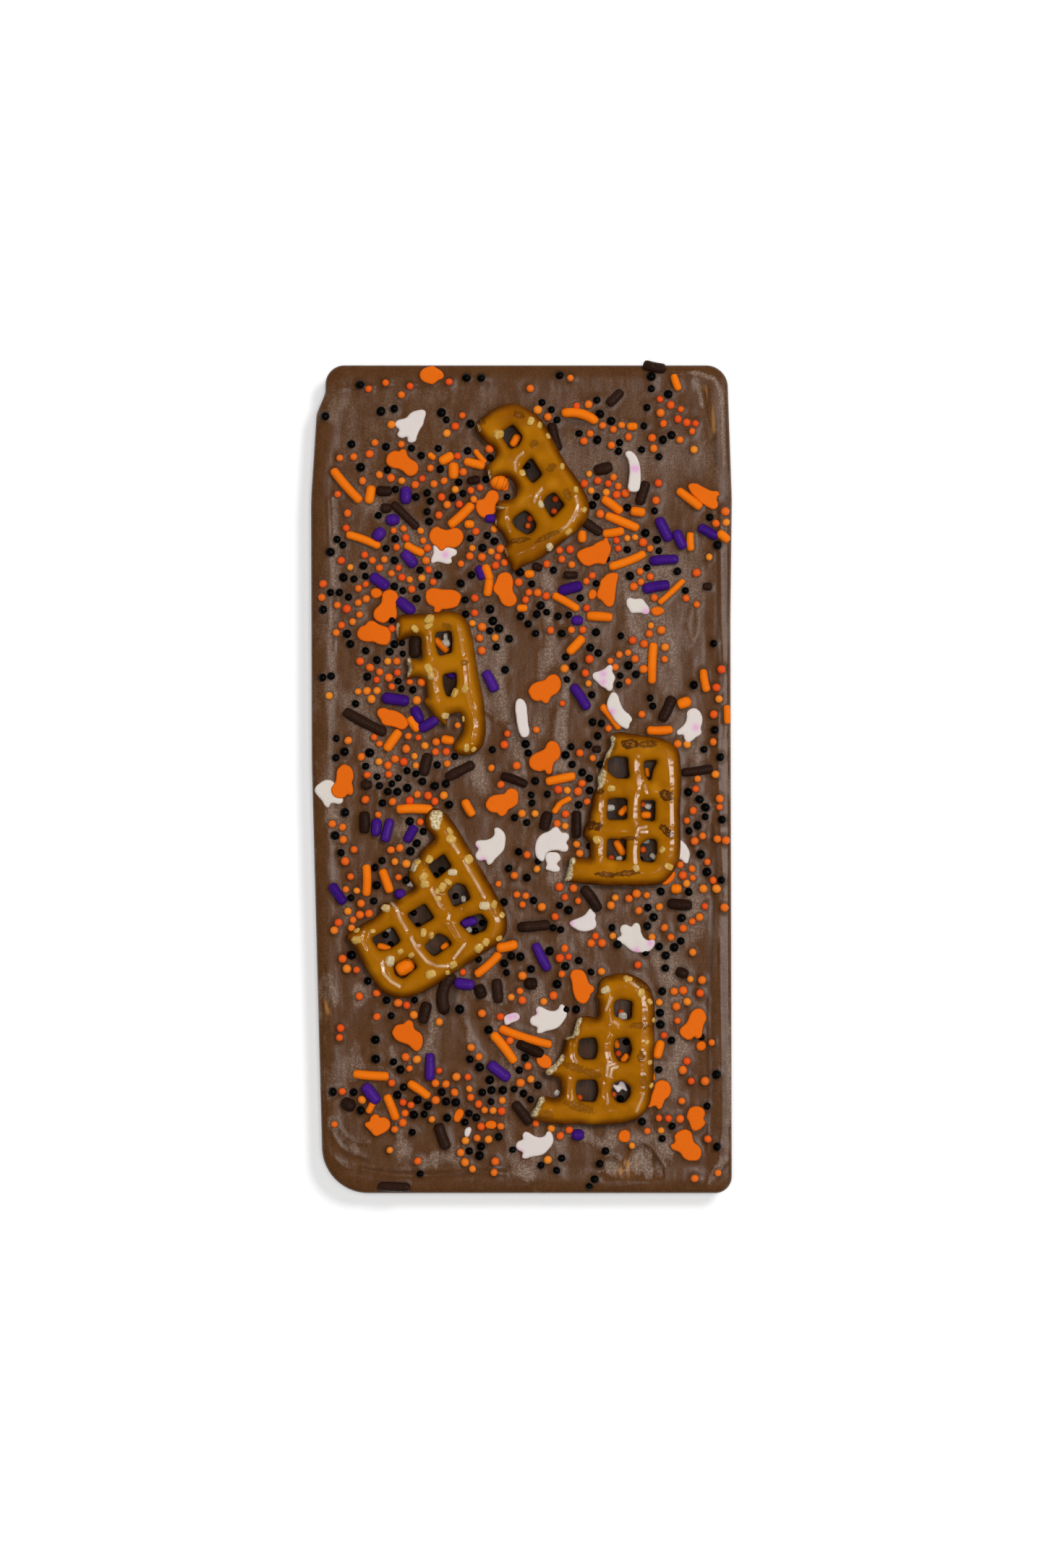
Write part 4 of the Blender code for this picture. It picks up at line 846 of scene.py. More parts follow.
def roughen(mesh, outline):
    """Moves the surface by the dough's lumps, the blisters and the torn crumb, turns it to the
    lamp along the gleams, and paints what the glaze shows of them."""
    places, x, y = places_of(mesh)
    fine, coarse, broad = (np.array([noise.noise(Vector(place) / size) for place in places])
                           for size in LUMPS)
    edge = route_distance(x, y, outline.tolist(), closed=True)
    crumb = torn_crumb(x, y, fine, coarse)
    blister, burn = blistered(x, y, fine)
    blister *= places[:, 2] * 1000 > BLISTERS_FROM
    gleam = np.zeros(len(x))
    for route in GLEAMS:
        gleam = np.maximum(gleam, bell(route_distance(x, y, route), GLEAM_WIDTH))
    shift = (0.07 * coarse + 0.10 * broad) * (1 - 0.7 * gleam) + 0.012 * fine
    shift += 0.08 * blister * (1 - blister / 1.6)
    shift += crumb * (0.05 * fine + 0.18 * coarse)
    places += normals_of(mesh) * shift[:, None] / 1000
    places[:, 2] = np.maximum(places[:, 2], PRETZEL_BOTTOM / 1000)
    mesh.vertices.foreach_set("co", places.ravel())
    near = [route for route in GLEAMS if x.min() < route[0][0] < x.max() and y.min() < route[0][1] < y.max()]
    turn_to_lamp(mesh, places, x, y, edge, near)
    # On strands that lie across the light the narrow crest also gets a painted highlight
    glint = np.zeros(len(x))
    for route in near:
        slant = abs(route[-1][0] - route[0][0]) / math.dist(route[0], route[-1])
        crest = bell(route_distance(x, y, route), GLINT_WIDTH) * np.clip(0.85 + 0.7 * coarse, 0.3, 1)
        glint = np.maximum(glint, crest * np.clip(1.8 * slant - 0.15, 0, 0.9))
    pale_and_highlight = np.clip(1.2 - np.hypot(x - PALE_PIECE[0], (y - PALE_PIECE[1]) * 0.6) / PALE_PIECE[2], 0, 1)
    for spot_x, spot_y, reach in SOFT_HIGHLIGHT_SPOTS:
        pale_and_highlight = np.maximum(pale_and_highlight, 1.5 * bell(np.hypot(x - spot_x, y - spot_y), reach))
    dark = np.min([np.hypot(x - spot_x, y - spot_y) / reach for spot_x, spot_y, reach in DARK_SPOTS], axis=0)
    for name, values in (("crumb", crumb), ("blister", blister), ("rim", np.clip(1 - edge / 12, 0, 1)),
                         ("pale_and_highlight", pale_and_highlight), ("dark", np.clip(1.3 - dark, 0, 1)), ("gleam", gleam),
                         ("burn", burn), ("glint", glint)):
        paint(mesh, name, values)
    mesh.update()


glaze = Finish("baked_glaze", IOR=1.5, Coat_Roughness=0.10, Coat_IOR=1.42, Specular_IOR_Level=0.03)
bake = glaze.noise(3.0)
pores = glaze.noise(0.5)
rim, gleam = glaze.painted("rim"), glaze.painted("gleam")
blister, crumb = glaze.painted("blister"), glaze.painted("crumb")
crust = glaze.layers(
    # From the foot up to the crests
    glaze.blend(glaze.step(glaze.height(), 0.0075, 0.0099), (0.05, 0.011, 0.001), (0.37, 0.128, 0.0012)),
    # Browner at the rim and in patches, with yellow pores, paler places with painted soft highlights,
    # dark spots and painted highlights on the crests
    (glaze.step(rim, 0.0, 0.85) * 0.85, (0.115, 0.028, 0.001)),
    (glaze.step(bake, 0.42, 0.70) * 0.55, (0.255, 0.08, 0.001)),
    (glaze.step(pores, 0.60, 0.75) * 0.22, (0.42, 0.175, 0.008)),
    (glaze.painted("pale_and_highlight") * 0.45, (0.48, 0.18, 0.004)),
    (glaze.painted("dark") * 0.60, (0.19, 0.052, 0.001)),
    (glaze.painted("glint"), (0.8, 0.6, 0.4)),
    # The blisters, burnt round a paler middle
    (glaze.step(blister, 0.1, 0.6) * glaze.painted("burn") * 0.9, (0.05, 0.014, 0.003)),
    (glaze.step(blister, 0.9, 1.7) * glaze.step(pores, 0.42, 0.60) * 0.8, (0.27, 0.1, 0.012)),
    (crumb, glaze.blend(glaze.step(pores, 0.40, 0.60), (0.4, 0.28, 0.12), (0.76, 0.64, 0.4))))
glaze.feed(Base_Color=crust, Roughness=0.45 + crumb * 0.4 + blister * 0.07,
           Coat_Weight=0.3 + gleam * 0.65 - crumb - blister * 0.1 - glaze.step(rim, 0.45, 0.75) * 0.97,
           Normal=glaze.bumps(pores * (1.0 - gleam * 0.5), 0.02,
                              glaze.bumps(bake * (1.0 - gleam * 0.8), 0.15)))
pretzel_pieces = {}
for name, (outline, windows, strands) in PRETZELS.items():
    piece = baked_piece(name, outline, windows, strands)
    piece.data.materials.append(glaze.material)
    pretzel_pieces[name] = piece
    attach(piece, "root")
    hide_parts(name)


# The salt: coarse grains of a crystal baked into the glaze, most of them yellowed by it and a
# few still white. They stand on the pretzels, and a few fell beside them.

# Where the grains are and how wide, in pixels
SALT_GRAINS = (
    (690, 602, 14), (722, 655, 9), (748, 698, 10), (760, 757, 11), (734, 584, 11), (746, 589, 9),
    (758, 604, 8), (777, 646, 8), (796, 678, 8), (808, 706, 8), (786, 736, 10), (574, 870, 11),
    (594, 857, 14), (593, 866, 11), (593, 925, 13), (596, 935, 10), (616, 880, 8), (617, 889, 10),
    (643, 953, 11), (629, 959, 13), (616, 990, 11), (641, 994, 8), (645, 1034, 11), (655, 1036, 7),
    (844, 1117, 11), (896, 1115, 8), (856, 1187, 8), (903, 1184, 9), (825, 1161, 10), (924, 1198, 12),
    (915, 1175, 9), (845, 1090, 10), (879, 1200, 9), (893, 1163, 9), (622, 1149, 10), (624, 1160, 12),
    (594, 1188, 10), (586, 1212, 12), (588, 1222, 11), (578, 1192, 9), (626, 1206, 12), (620, 1219, 10),
    (612, 1226, 12), (648, 1188, 12), (670, 1252, 13), (683, 1250, 11), (694, 1265, 9), (690, 1297, 9),
    (672, 1302, 10), (662, 1310, 12), (641, 1243, 8), (606, 1242, 8), (605, 1232, 8), (586, 1289, 11),
    (597, 1293, 10), (494, 1299, 13), (540, 1328, 14), (569, 1320, 9), (554, 1315, 8), (596, 1346, 13),
    (627, 1333, 10), (619, 1344, 7), (568, 1222, 9), (534, 1255, 12), (516, 1287, 7), (536, 1285, 8),
    (494, 1286, 8), (648, 1286, 8), (837, 1368, 12), (886, 1372, 11), (866, 1353, 10), (898, 1384, 8),
    (903, 1410, 7), (861, 1405, 11), (770, 1511, 8), (871, 1353, 7), (894, 1440, 7), (898, 1468, 7),
    (900, 1500, 8),
)
# The few of them that are still white
WHITE_GRAINS = ((760, 757), (837, 1368), (540, 1328), (626, 1206), (748, 698), (670, 1252))
# How much wider than in the photograph a grain is made, for its bevelled corners
GRAIN_GROWTH = 1.08
# A height above everything, in millimetres, and the ways up and down
SKY = 20
UP, DOWN = Vector((0, 0, 1)), Vector((0, 0, -1))

pretzel_tree = bmesh.new()
for piece in pretzel_pieces.values():
    pretzel_tree.from_mesh(piece.data)
pretzel_tree = BVHTree.FromBMesh(pretzel_tree)


def joined_copies(name, model, placings):
    """Copies of a model as one mesh, each at its own place and with its own shade."""
    crowd = bmesh.new()
    for where, tint in placings:
        first = len(crowd.verts)
        crowd.from_mesh(model.data)
        shade = crowd.verts.layers.float.get("shade") or crowd.verts.layers.float.new("shade")
        crowd.verts.ensure_lookup_table()
        for vert in crowd.verts[first:]:
            vert.co = where @ vert.co
            vert[shade] = tint
    mesh = bpy.data.meshes.new(name)
    crowd.to_mesh(mesh)
    crowd.free()
    bpy.data.objects.remove(model)
    made = bpy.data.objects.new(name, mesh)
    bpy.context.scene.collection.objects.link(made)
    return made


bpy.ops.object.select_all(action="DESELECT")
bpy.ops.mesh.primitive_cube_add(size=1.0)
grain_model = bpy.context.object
bpy.ops.object.mode_set(mode="EDIT")
bpy.ops.mesh.select_all(action="SELECT")
bpy.ops.mesh.bevel(offset=0.26, segments=1)
bpy.ops.transform.vertex_random(offset=0.09, seed=5)
bpy.ops.mesh.normals_make_consistent(inside=False)
bpy.ops.object.mode_set(mode="OBJECT")
draw = random.Random(4)
grains = []
for x, y, size in SALT_GRAINS:
    hit, normal, _, _ = pretzel_tree.ray_cast(on_bar(x, y, SKY), DOWN)
    if hit is None:
        hit, normal = on_bar(x, y, FACE), UP
    width = size * GRAIN_GROWTH * PIXEL
    spin = Matrix.Rotation(draw.uniform(0, 6.3), 4, "Z") @ Matrix.Rotation(draw.uniform(-0.5, 0.5), 4, "X")
    shape = Matrix.Diagonal((width, width * draw.uniform(0.7, 1), width * draw.uniform(0.5, 0.65), 1))
    leaned = normal.to_track_quat("Z", "Y").to_matrix().to_4x4()
    whiteness = draw.random() * 0.8 if (x, y) not in WHITE_GRAINS else 0.86
    grains.append((Matrix.Translation(hit - normal * width * 0.02) @ leaned @ spin @ shape, whiteness))
salt = joined_copies("salt_grains", grain_model, grains)
crystal = Finish("salt_crystal", IOR=1.5, Transmission_Weight=0.2)
baked_in = crystal.blend(crystal.step(crystal.painted("shade"), 0.70, 0.98),
                         (0.74, 0.45, 0.1), (0.84, 0.74, 0.52))
fallen = (0.46, 0.4, 0.33)
crystal.feed(Base_Color=crystal.blend(crystal.step(crystal.height(), 0.0076, 0.0086), fallen, baked_in),
             Roughness=0.22 + crystal.noise(0.4) * 0.2)
salt.data.materials.append(crystal.material)
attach(salt, "root")


# The sugar sticks: short extruded rods of coloured sugar, cut and tumbled so their ends are
# blunt. They lie as they fell, pressed a little into the chocolate, and some lie over others.

# Middle x and y, turn in degrees clockwise from the x axis, length and width, and how far the
# middle of a curved one is bent aside
ORANGE_STICKS = (
    (480, 671, 49, 60, 13), (512, 684, 100, 26, 14), (617, 634, -30, 22, 14), (597, 631, 40, 12, 9),
    (627, 651, 90, 23, 15), (801, 579, 14, 50, 14, -4.5), (656, 641, 15, 30, 13), (664, 631, 50, 24, 8),
    (935, 529, 70, 24, 11), (953, 690, 38, 42, 13), (846, 699, 36, 34, 13), (874, 590, 0, 15, 12),
    (502, 748, 20, 50, 12), (573, 759, 27, 30, 12), (637, 712, -43, 45, 14), (674, 792, 70, 24, 13),
    (675, 812, 98, 26, 13), (782, 833, 30, 42, 12), (796, 892, -47, 32, 14), (829, 853, 4, 36, 14),
    (860, 722, 22, 50, 13), (848, 736, -8, 30, 13), (882, 708, 10, 21, 14), (955, 749, 88, 26, 11),
    (1000, 742, 40, 20, 13), (867, 774, -21, 54, 13), (543, 1024, -55, 34, 14), (775, 1077, -12, 42, 13),
    (903, 917, 92, 57, 13), (975, 941, 80, 32, 12), (946, 972, -20, 20, 16), (912, 1009, -2, 36, 13),
    (649, 725, 0, 14, 12), (805, 742, 90, 17, 13), (732, 794, 0, 14, 12), (722, 841, 0, 15, 11),
    (572, 1001, 55, 24, 13), (619, 1023, 10, 18, 13), (573, 1120, 0, 50, 14), (506, 1217, 90, 44, 13),
    (534, 1218, 70, 35, 13), (648, 1117, 60, 26, 13), (770, 1117, -55, 18, 9), (781, 1108, -28, 20, 9),
    (701, 1308, -12, 30, 15), (674, 1333, -42, 46, 13), (727, 1432, 18, 76, 13), (696, 1449, 52, 52, 14),
    (911, 1451, 105, 26, 14), (513, 1486, 4, 50, 14), (579, 1507, 35, 36, 13), (541, 1531, 68, 38, 13),
    (513, 1530, 118, 20, 10), (844, 992, 52, 42, 12), (928, 818, -43, 48, 9), (935, 1229, 0, 15, 14),
    (690, 667, 20, 24, 22), (1005, 988, 88, 26, 10), (902, 1488, 80, 12, 8),
)
PURPLE_STICKS = (
    (561, 685, 90, 24, 16), (543, 719, 0, 19, 16), (524, 739, -50, 20, 17), (566, 773, 50, 27, 16),
    (525, 804, 35, 30, 16), (561, 838, 40, 30, 16), (678, 717, 0, 15, 13), (664, 792, 70, 20, 12),
    (789, 814, -15, 34, 15), (798, 858, 0, 16, 14), (918, 732, 63, 36, 15), (940, 746, 65, 28, 15),
    (979, 736, 30, 30, 14), (918, 775, -4, 40, 14), (907, 812, -10, 38, 15), (547, 967, 8, 38, 16),
    (577, 988, 65, 24, 15), (592, 1001, -30, 30, 15), (678, 942, 63, 32, 15), (802, 964, 57, 40, 14),
    (520, 1144, 95, 24, 15), (536, 1148, 105, 33, 14), (568, 1153, -60, 26, 14), (467, 1236, 55, 33, 14),
    (553, 1236, 0, 15, 14), (649, 1275, -12, 22, 13), (594, 1475, 90, 38, 14), (749, 1323, 63, 42, 14),
    (642, 1360, 8, 28, 16), (690, 1481, 38, 36, 16), (513, 1512, 52, 32, 17), (799, 1569, 0, 17, 16),
)
BROWN_STICKS = (
    (531, 679, 0, 22, 14), (534, 703, 0, 15, 14), (560, 713, 44, 50, 12), (768, 604, 75, 40, 13),
    (834, 648, -15, 26, 16), (850, 550, -45, 28, 13), (905, 507, 12, 32, 14), (889, 682, -72, 34, 14),
    (818, 728, 35, 34, 14), (505, 998, 28, 66, 15), (507, 1085, 0, 15, 14), (589, 1057, 105, 32, 15),
    (636, 1066, -27, 44, 14), (711, 1079, 20, 38, 13), (922, 980, 115, 38, 15), (964, 1065, -8, 43, 13),
    (504, 1137, 90, 30, 15), (755, 1135, 105, 27, 16), (797, 1140, 90, 38, 14), (738, 1280, -5, 45, 15),
    (817, 1243, 55, 40, 15), (940, 1250, 5, 34, 15), (588, 1400, 102, 30, 15), (623, 1374, 101, 56, 17, 6),
    (664, 1371, 70, 20, 17), (688, 1370, 85, 34, 15), (734, 1360, 0, 18, 17), (733, 1450, 25, 40, 15),
    (943, 1345, 20, 18, 14), (482, 1527, 30, 20, 17), (612, 1571, 70, 38, 15), (545, 1641, 2, 44, 13),
    (722, 1539, 52, 38, 14), (789, 795, 0, 20, 11), (574, 895, 90, 30, 17), (743, 784, 20, 14, 12),
    (655, 664, -10, 18, 12), (978, 811, 0, 13, 11), (825, 1036, 0, 12, 10),
)
# Bits of stick and bead seen in the windows of the pretzels
PURPLE_BITS = ((624, 934, 20, 12, 8),)
ORANGE_BITS = (
    (862, 1121, -45, 17, 10), (893, 1127, 0, 15, 11), (857, 1172, 60, 24, 12), (852, 1442, 75, 16, 9),
    (610, 892, 45, 26, 11), (712, 609, -60, 19, 12), (895, 1068, 80, 13, 7), (864, 1463, -50, 14, 10),
    (560, 1337, -30, 27, 22), (531, 1310, 15, 20, 10), (615, 1308, -40, 13, 9),
)
# How full a rod is along its length, from end to end
ROD_PROFILE = (
    (0, 0.45), (0.035, 0.78), (0.11, 0.97), (0.35, 1), (0.65, 1), (0.89, 0.97), (0.965, 0.78), (1, 0.45),
)
# How much lower sprinkles lie in the windows, and how high one may lie over others, in millimetres
WINDOW_DROP = 0.6
ROD_LIFT = 0.35
# How strongly sugar dust pales a sprinkle
SUGAR_DUST = 0.35


def sugar_rods(name, rows, low_from, seed, uneven):
    """Sugar rods as one mesh: smooth tubes with blunt ends, a little bent and uneven. The rows
    from a number on lie low in the windows."""
    draw = random.Random(seed)
    bpy.ops.object.select_all(action="DESELECT")
    bpy.ops.curve.primitive_bezier_curve_add()
    rods = bpy.context.object
    rods.name = name
    rods.data.bevel_depth = 0.001
    rods.data.bevel_resolution = 3
    rods.data.resolution_u = 3
    rods.data.use_fill_caps = True
    rods.data.splines.clear()
    for index, (x, y, turn, length, width, *bent) in enumerate(rows):
        level = FACE if index < low_from else FACE - WINDOW_DROP
        along = Vector((math.cos(math.radians(turn)), math.sin(math.radians(turn))))
        aside = Vector((-along.y, along.x))
        bend = draw.uniform(-0.03, 0.03) * max(length - width, 0) + sum(bent)
        rise = draw.uniform(0, ROD_LIFT)
        lean = draw.uniform(-0.012, 0.012) * length
        line = rods.data.splines.new("BEZIER")
        line.bezier_points.add(len(ROD_PROFILE) - 1)
        for knot, (share, full) in zip(line.bezier_points, ROD_PROFILE):
            end = min(share, 1 - share)
            reach = (share - 0.5) * length
            if end < 0.2:
                reach = math.copysign(length / 2 - end * 3.2 * min(width, length) * 0.9, share - 0.5)
            spot = Vector((x, y)) + along * reach + aside * bend * (1 - (2 * share - 1) ** 2) * 2
            knot.handle_left_type = knot.handle_right_type = "AUTO"
            knot.co = on_bar(*spot, level + width * PIXEL * 1000 * 0.16 + rise + lean * (share - 0.5))
            knot.radius = width / 2 * PIXEL * 1000 * full * (1 + draw.uniform(-uneven, uneven))
    bpy.ops.object.convert(target="MESH")
    rods = bpy.context.object
    shades = [draw.random() for _ in rows]
    paint(rods.data, "shade", np.repeat(shades, len(rods.data.vertices) // len(rows)))
    bpy.ops.object.shade_smooth()
    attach(rods, "root")
    return rods


def sugar(name, colours, roughness, grit, depth):
    """Coloured sugar: its shade runs through some colours from copy to copy, with pits and dust of
    a grit and depth in millimetres, and a painted shade that darkens it towards its foot, where it
    stands in the chocolate."""
    made = Finish(name, IOR=1.45, Specular_IOR_Level=0.1)
    stops = [(index / max(len(colours) - 1, 1), colour) for index, colour in enumerate(colours)]
    pits = made.noise(grit)
    base = made.layers(
        made.node("ValToRGB", {"Fac": made.painted("shade")}, stops=stops),
        (made.step(pits, 0.66, 0.80) * SUGAR_DUST, [min(1, c * 1.4 + 0.01) for c in colours[-1]]),
        (made.step(pits, 0.36, 0.24) * 0.5, [c * 0.45 for c in colours[0]]),
        # Painted shade, darker towards the foot
        (made.step(made.height(), 0.0076, 0.0068) * 0.6, [c * 0.3 for c in colours[0]]))
    made.feed(Base_Color=base, Roughness=roughness + (pits - 0.5) * 0.2, Normal=made.bumps(pits, depth))
    return made.material


# Each kind: the sticks, the bits in the windows, the slot, how uneven the rods are, the sugar
rod_kinds = (
    ("orange_rods", ORANGE_STICKS, ORANGE_BITS, "orange_sugar", 0.03,
     sugar("orange_sugar", ((0.82, 0.165, 0.004), (0.88, 0.195, 0.005)), 0.55, 0.35, 0.10)),
    ("purple_rods", PURPLE_STICKS, PURPLE_BITS, "purple_sugar", 0.04,
     sugar("purple_sugar", ((0.038, 0.006, 0.15), (0.07, 0.015, 0.23)), 0.32, 0.6, 0.08)),
    ("brown_rods", BROWN_STICKS, (), "brown_sugar", 0.06,
     sugar("brown_sugar", ((0.018, 0.007, 0.004), (0.03, 0.013, 0.008)), 0.38, 0.7, 0.22)),
)
for seed, (name, sticks, bits, slot, uneven, finish) in enumerate(rod_kinds):
    rods = sugar_rods(name, sticks + bits, len(sticks), seed, uneven)
    rods.data.materials.append(finish)


# The flat sugar drops: orange pumpkins, each two lobes with a stem, and white ghosts with a pink
# blush. They were piped or pressed thin, and lie flat, on edge or over one another.

# Pumpkins: middle x and y, and the outline about it with the stem, in pixels
PUMPKINS = (
    (670, 702, ((-12, -4), (-11, -9), (-7, -11), (-2, -12), (1, -16), (4, -21), (8, -24), (14, -24),
     (18, -21), (20, -16), (19, -9), (16, -4), (16, 3), (14, 8), (9, 12), (2, 15), (-6, 12), (-10, 7),
     (-12, 2))),
    (617, 744, ((-24, -2), (-22, -9), (-18, -14), (-12, -16), (-7, -13), (-3, -12), (1, -11), (7, -13),
     (13, -14), (19, -12), (23, -7), (24, 0), (21, 7), (16, 12), (10, 14), (4, 13), (-1, 14), (-3, 17),
     (-7, 18), (-10, 16), (-12, 13), (-17, 10), (-21, 6))),
    (698, 815, ((-8, -21), (-4, -23), (2, -24), (8, -21), (11, -15), (12, -8), (11, -1), (13, 5), (16, 10),
     (17, 15), (14, 21), (9, 24), (3, 24), (-4, 20), (-7, 15), (-9, 10), (-13, 6), (-16, 2), (-16, -3),
     (-14, -8), (-12, -13))),
    (821, 765, ((-24, 3), (-22, -2), (-17, -5), (-10, -8), (-3, -10), (3, -14), (9, -17), (13, -18),
     (15, -21), (19, -21), (20, -16), (23, -11), (24, -5), (22, 2), (19, 8), (17, 14), (14, 16), (9, 15),
     (4, 15), (-1, 16), (-5, 18), (-10, 18), (-16, 15), (-21, 9))),
    (841, 816, ((-6, -18), (-2, -22), (5, -24), (10, -24), (14, -22), (14, -17), (12, -10), (11, -2),
     (10, 7), (9, 15), (7, 21), (2, 24), (-3, 22), (-7, 18), (-10, 14), (-14, 12), (-16, 9), (-16, 4),
     (-14, -2), (-12, -7), (-11, -13))),
    (754, 950, ((-24, 7), (-22, 1), (-18, -4), (-12, -7), (-5, -9), (-1, -10), (2, -14), (7, -17),
     (12, -18), (18, -15), (21, -10), (22, -4), (20, 4), (16, 9), (11, 12), (8, 14), (6, 18), (4, 22),
     (0, 23), (-4, 21), (-6, 19), (-10, 20), (-15, 19), (-20, 15), (-22, 11))),
    (753, 1046, ((-22, 8), (-21, 3), (-18, -1), (-12, -5), (-5, -8), (0, -11), (2, -16), (5, -20),
     (10, -22), (16, -20), (20, -15), (22, -9), (22, -2), (19, 4), (14, 8), (12, 12), (11, 17), (10, 22),
     (6, 25), (2, 23), (0, 19), (-5, 21), (-12, 20), (-18, 17), (-21, 13))),
    (695, 1106, ((-24, 7), (-22, 1), (-18, -4), (-11, -7), (-4, -8), (2, -9), (5, -13), (9, -16), (15, -16),
     (20, -13), (22, -8), (22, -2), (21, 5), (17, 9), (12, 12), (8, 14), (6, 18), (2, 22), (-2, 23),
     (-6, 21), (-8, 18), (-12, 18), (-18, 16), (-22, 12))),
    (565, 1430, ((-23, -2), (-21, -8), (-18, -12), (-13, -14), (-7, -15), (-4, -18), (0, -20), (5, -18),
     (7, -13), (8, -8), (10, -6), (15, -3), (19, 2), (20, 9), (19, 16), (16, 21), (11, 24), (5, 20),
     (0, 15), (-5, 13), (-11, 11), (-17, 8), (-21, 3))),
    (804, 1364, ((-15, -19), (-12, -23), (-5, -24), (2, -22), (6, -17), (8, -12), (10, -6), (12, -3),
     (16, -1), (18, 4), (16, 8), (13, 10), (12, 14), (9, 20), (4, 24), (-2, 23), (-7, 19), (-10, 13),
     (-12, 7), (-13, -1), (-14, -8), (-16, -14))),
    (957, 1416, ((-4, -12), (-1, -17), (4, -21), (10, -22), (16, -19), (19, -13), (20, -7), (17, -1),
     (15, 5), (14, 11), (13, 17), (9, 20), (6, 20), (3, 17), (0, 20), (-5, 22), (-12, 19), (-17, 14),
     (-18, 9), (-15, 4), (-10, 0), (-6, -6))),
    (948, 1583, ((-13, -17), (-8, -20), (-2, -22), (5, -20), (9, -15), (10, -9), (12, -4), (17, 0), (21, 5),
     (22, 10), (21, 16), (17, 21), (10, 22), (2, 21), (-4, 17), (-7, 12), (-11, 9), (-17, 7), (-21, 3),
     (-21, -1), (-17, -2), (-15, -5), (-16, -12))),
    (597, 520, ((-17, -2), (-15, -7), (-10, -11), (-4, -13), (2, -14), (7, -11), (12, -8), (16, -4),
     (17, 0), (15, 4), (10, 6), (6, 9), (2, 12), (-4, 11), (-10, 9), (-15, 5))),
    (555, 640, ((-21, -5), (-19, -11), (-14, -15), (-8, -17), (-2, -16), (-1, -18), (3, -19), (7, -17),
     (8, -12), (12, -6), (17, -3), (22, 1), (24, 8), (22, 14), (17, 18), (11, 19), (6, 16), (2, 12),
     (-4, 9), (-10, 8), (-17, 5), (-21, 0))),
    (971, 687, ((-20, -14), (-18, -18), (-12, -19), (-6, -18), (-1, -15), (5, -12), (11, -9), (18, -8),
     (21, -8), (24, -3), (21, 0), (20, 4), (22, 10), (20, 16), (15, 18), (10, 16), (3, 12), (-3, 8),
     (-9, 2), (-15, -4), (-18, -9))),
    (533, 838, ((-5, -12), (-4, -18), (1, -22), (7, -23), (14, -20), (18, -13), (17, -6), (15, 0), (16, 7),
     (16, 14), (13, 19), (8, 20), (3, 21), (-2, 24), (-9, 22), (-15, 18), (-17, 12), (-15, 5), (-10, 0),
     (-6, -5))),
    (517, 876, ((-24, 1), (-22, -5), (-18, -10), (-12, -12), (-9, -16), (-4, -18), (1, -17), (5, -14),
     (12, -11), (18, -9), (23, -3), (24, 4), (22, 12), (18, 16), (12, 16), (6, 15), (0, 12), (-8, 12),
     (-14, 11), (-20, 8))),
    (612, 826, ((-24, -3), (-23, -8), (-18, -12), (-12, -13), (-5, -12), (2, -11), (8, -11), (16, -10),
     (22, -7), (26, -2), (24, 6), (21, 12), (15, 15), (10, 16), (4, 17), (-1, 17), (-3, 20), (-12, 20),
     (-12, 14), (-18, 11), (-23, 5))),
    (541, 994, ((-20, -8), (-19, -12), (-14, -15), (-8, -15), (-3, -13), (4, -12), (11, -9), (17, -5),
     (21, 0), (24, 7), (21, 12), (17, 15), (11, 14), (3, 11), (-4, 10), (-11, 8), (-14, 4), (-15, 1),
     (-18, -3))),
    (474, 1081, ((-9, -9), (-8, -16), (-4, -21), (0, -24), (7, -23), (12, -19), (15, -12), (15, -5),
     (13, 1), (14, 6), (15, 12), (14, 16), (11, 19), (8, 18), (6, 16), (5, 19), (2, 22), (-4, 23),
     (-11, 21), (-15, 16), (-16, 9), (-13, 4), (-10, -1))),
    (914, 1510, ((-10, -6), (-9, -11), (-5, -15), (1, -17), (8, -15), (12, -11), (14, -4), (13, 2), (10, 7),
     (5, 11), (4, 14), (2, 19), (0, 23), (-3, 24), (-6, 22), (-7, 19), (-12, 20), (-18, 21), (-16, 15),
     (-15, 9), (-13, 2))),
    (963, 1546, ((-13, -6), (-11, -12), (-6, -16), (1, -17), (7, -15), (11, -11), (12, -5), (10, 0),
     (10, 2), (12, 4), (12, 8), (8, 13), (4, 16), (-3, 18), (-7, 15), (-9, 10), (-11, 4), (-14, -1))),
    (522, 1557, ((-18, -2), (-15, -6), (-12, -6), (-10, -12), (-6, -16), (-3, -17), (1, -16), (2, -14),
     (2, -12), (4, -12), (8, -13), (13, -11), (17, -7), (18, -1), (15, 5), (10, 9), (4, 12), (-2, 14),
     (-6, 12), (-9, 8), (-14, 3))),
)
# Bits of pumpkin: middle x and y, turn clockwise, length, width
PUMPKIN_BITS = (
    (752, 1467, 40, 22, 20), (863, 1571, 0, 19, 18), (679, 1555, 0, 16, 14), (634, 1542, -60, 21, 14),
    (969, 1446, 0, 15, 14), (909, 845, 0, 18, 14), (520, 820, 0, 17, 16), (819, 822, 100, 16, 12),
    (924, 1214, -50, 26, 13), (694, 668, 60, 24, 18),
)
# A whole ghost with its tail to the right, in pixels about its middle, and where whole ones lie:
# middle, turn clockwise, and the places of their blushes
WHOLE_GHOST = (
    (-20, -17), (-13, -19), (-6, -16), (-3, -20), (3, -21), (6, -17), (8, -7), (13, 1), (18, 3), (25, 2),
    (27, 6), (25, 12), (19, 18), (8, 20), (-3, 19), (-11, 14), (-17, 9), (-24, 5), (-26, 0), (-20, -4),
    (-22, -10),
)
WHOLE_GHOSTS = (
    (879, 1297, 0, ((899, 1304), (880, 1314))), (678, 1170, -82, ((658, 1172), (668, 1189))),
    (758, 1407, -52, ((739, 1399), (768, 1390))), (739, 1581, -48, ((718, 1593),)),
)
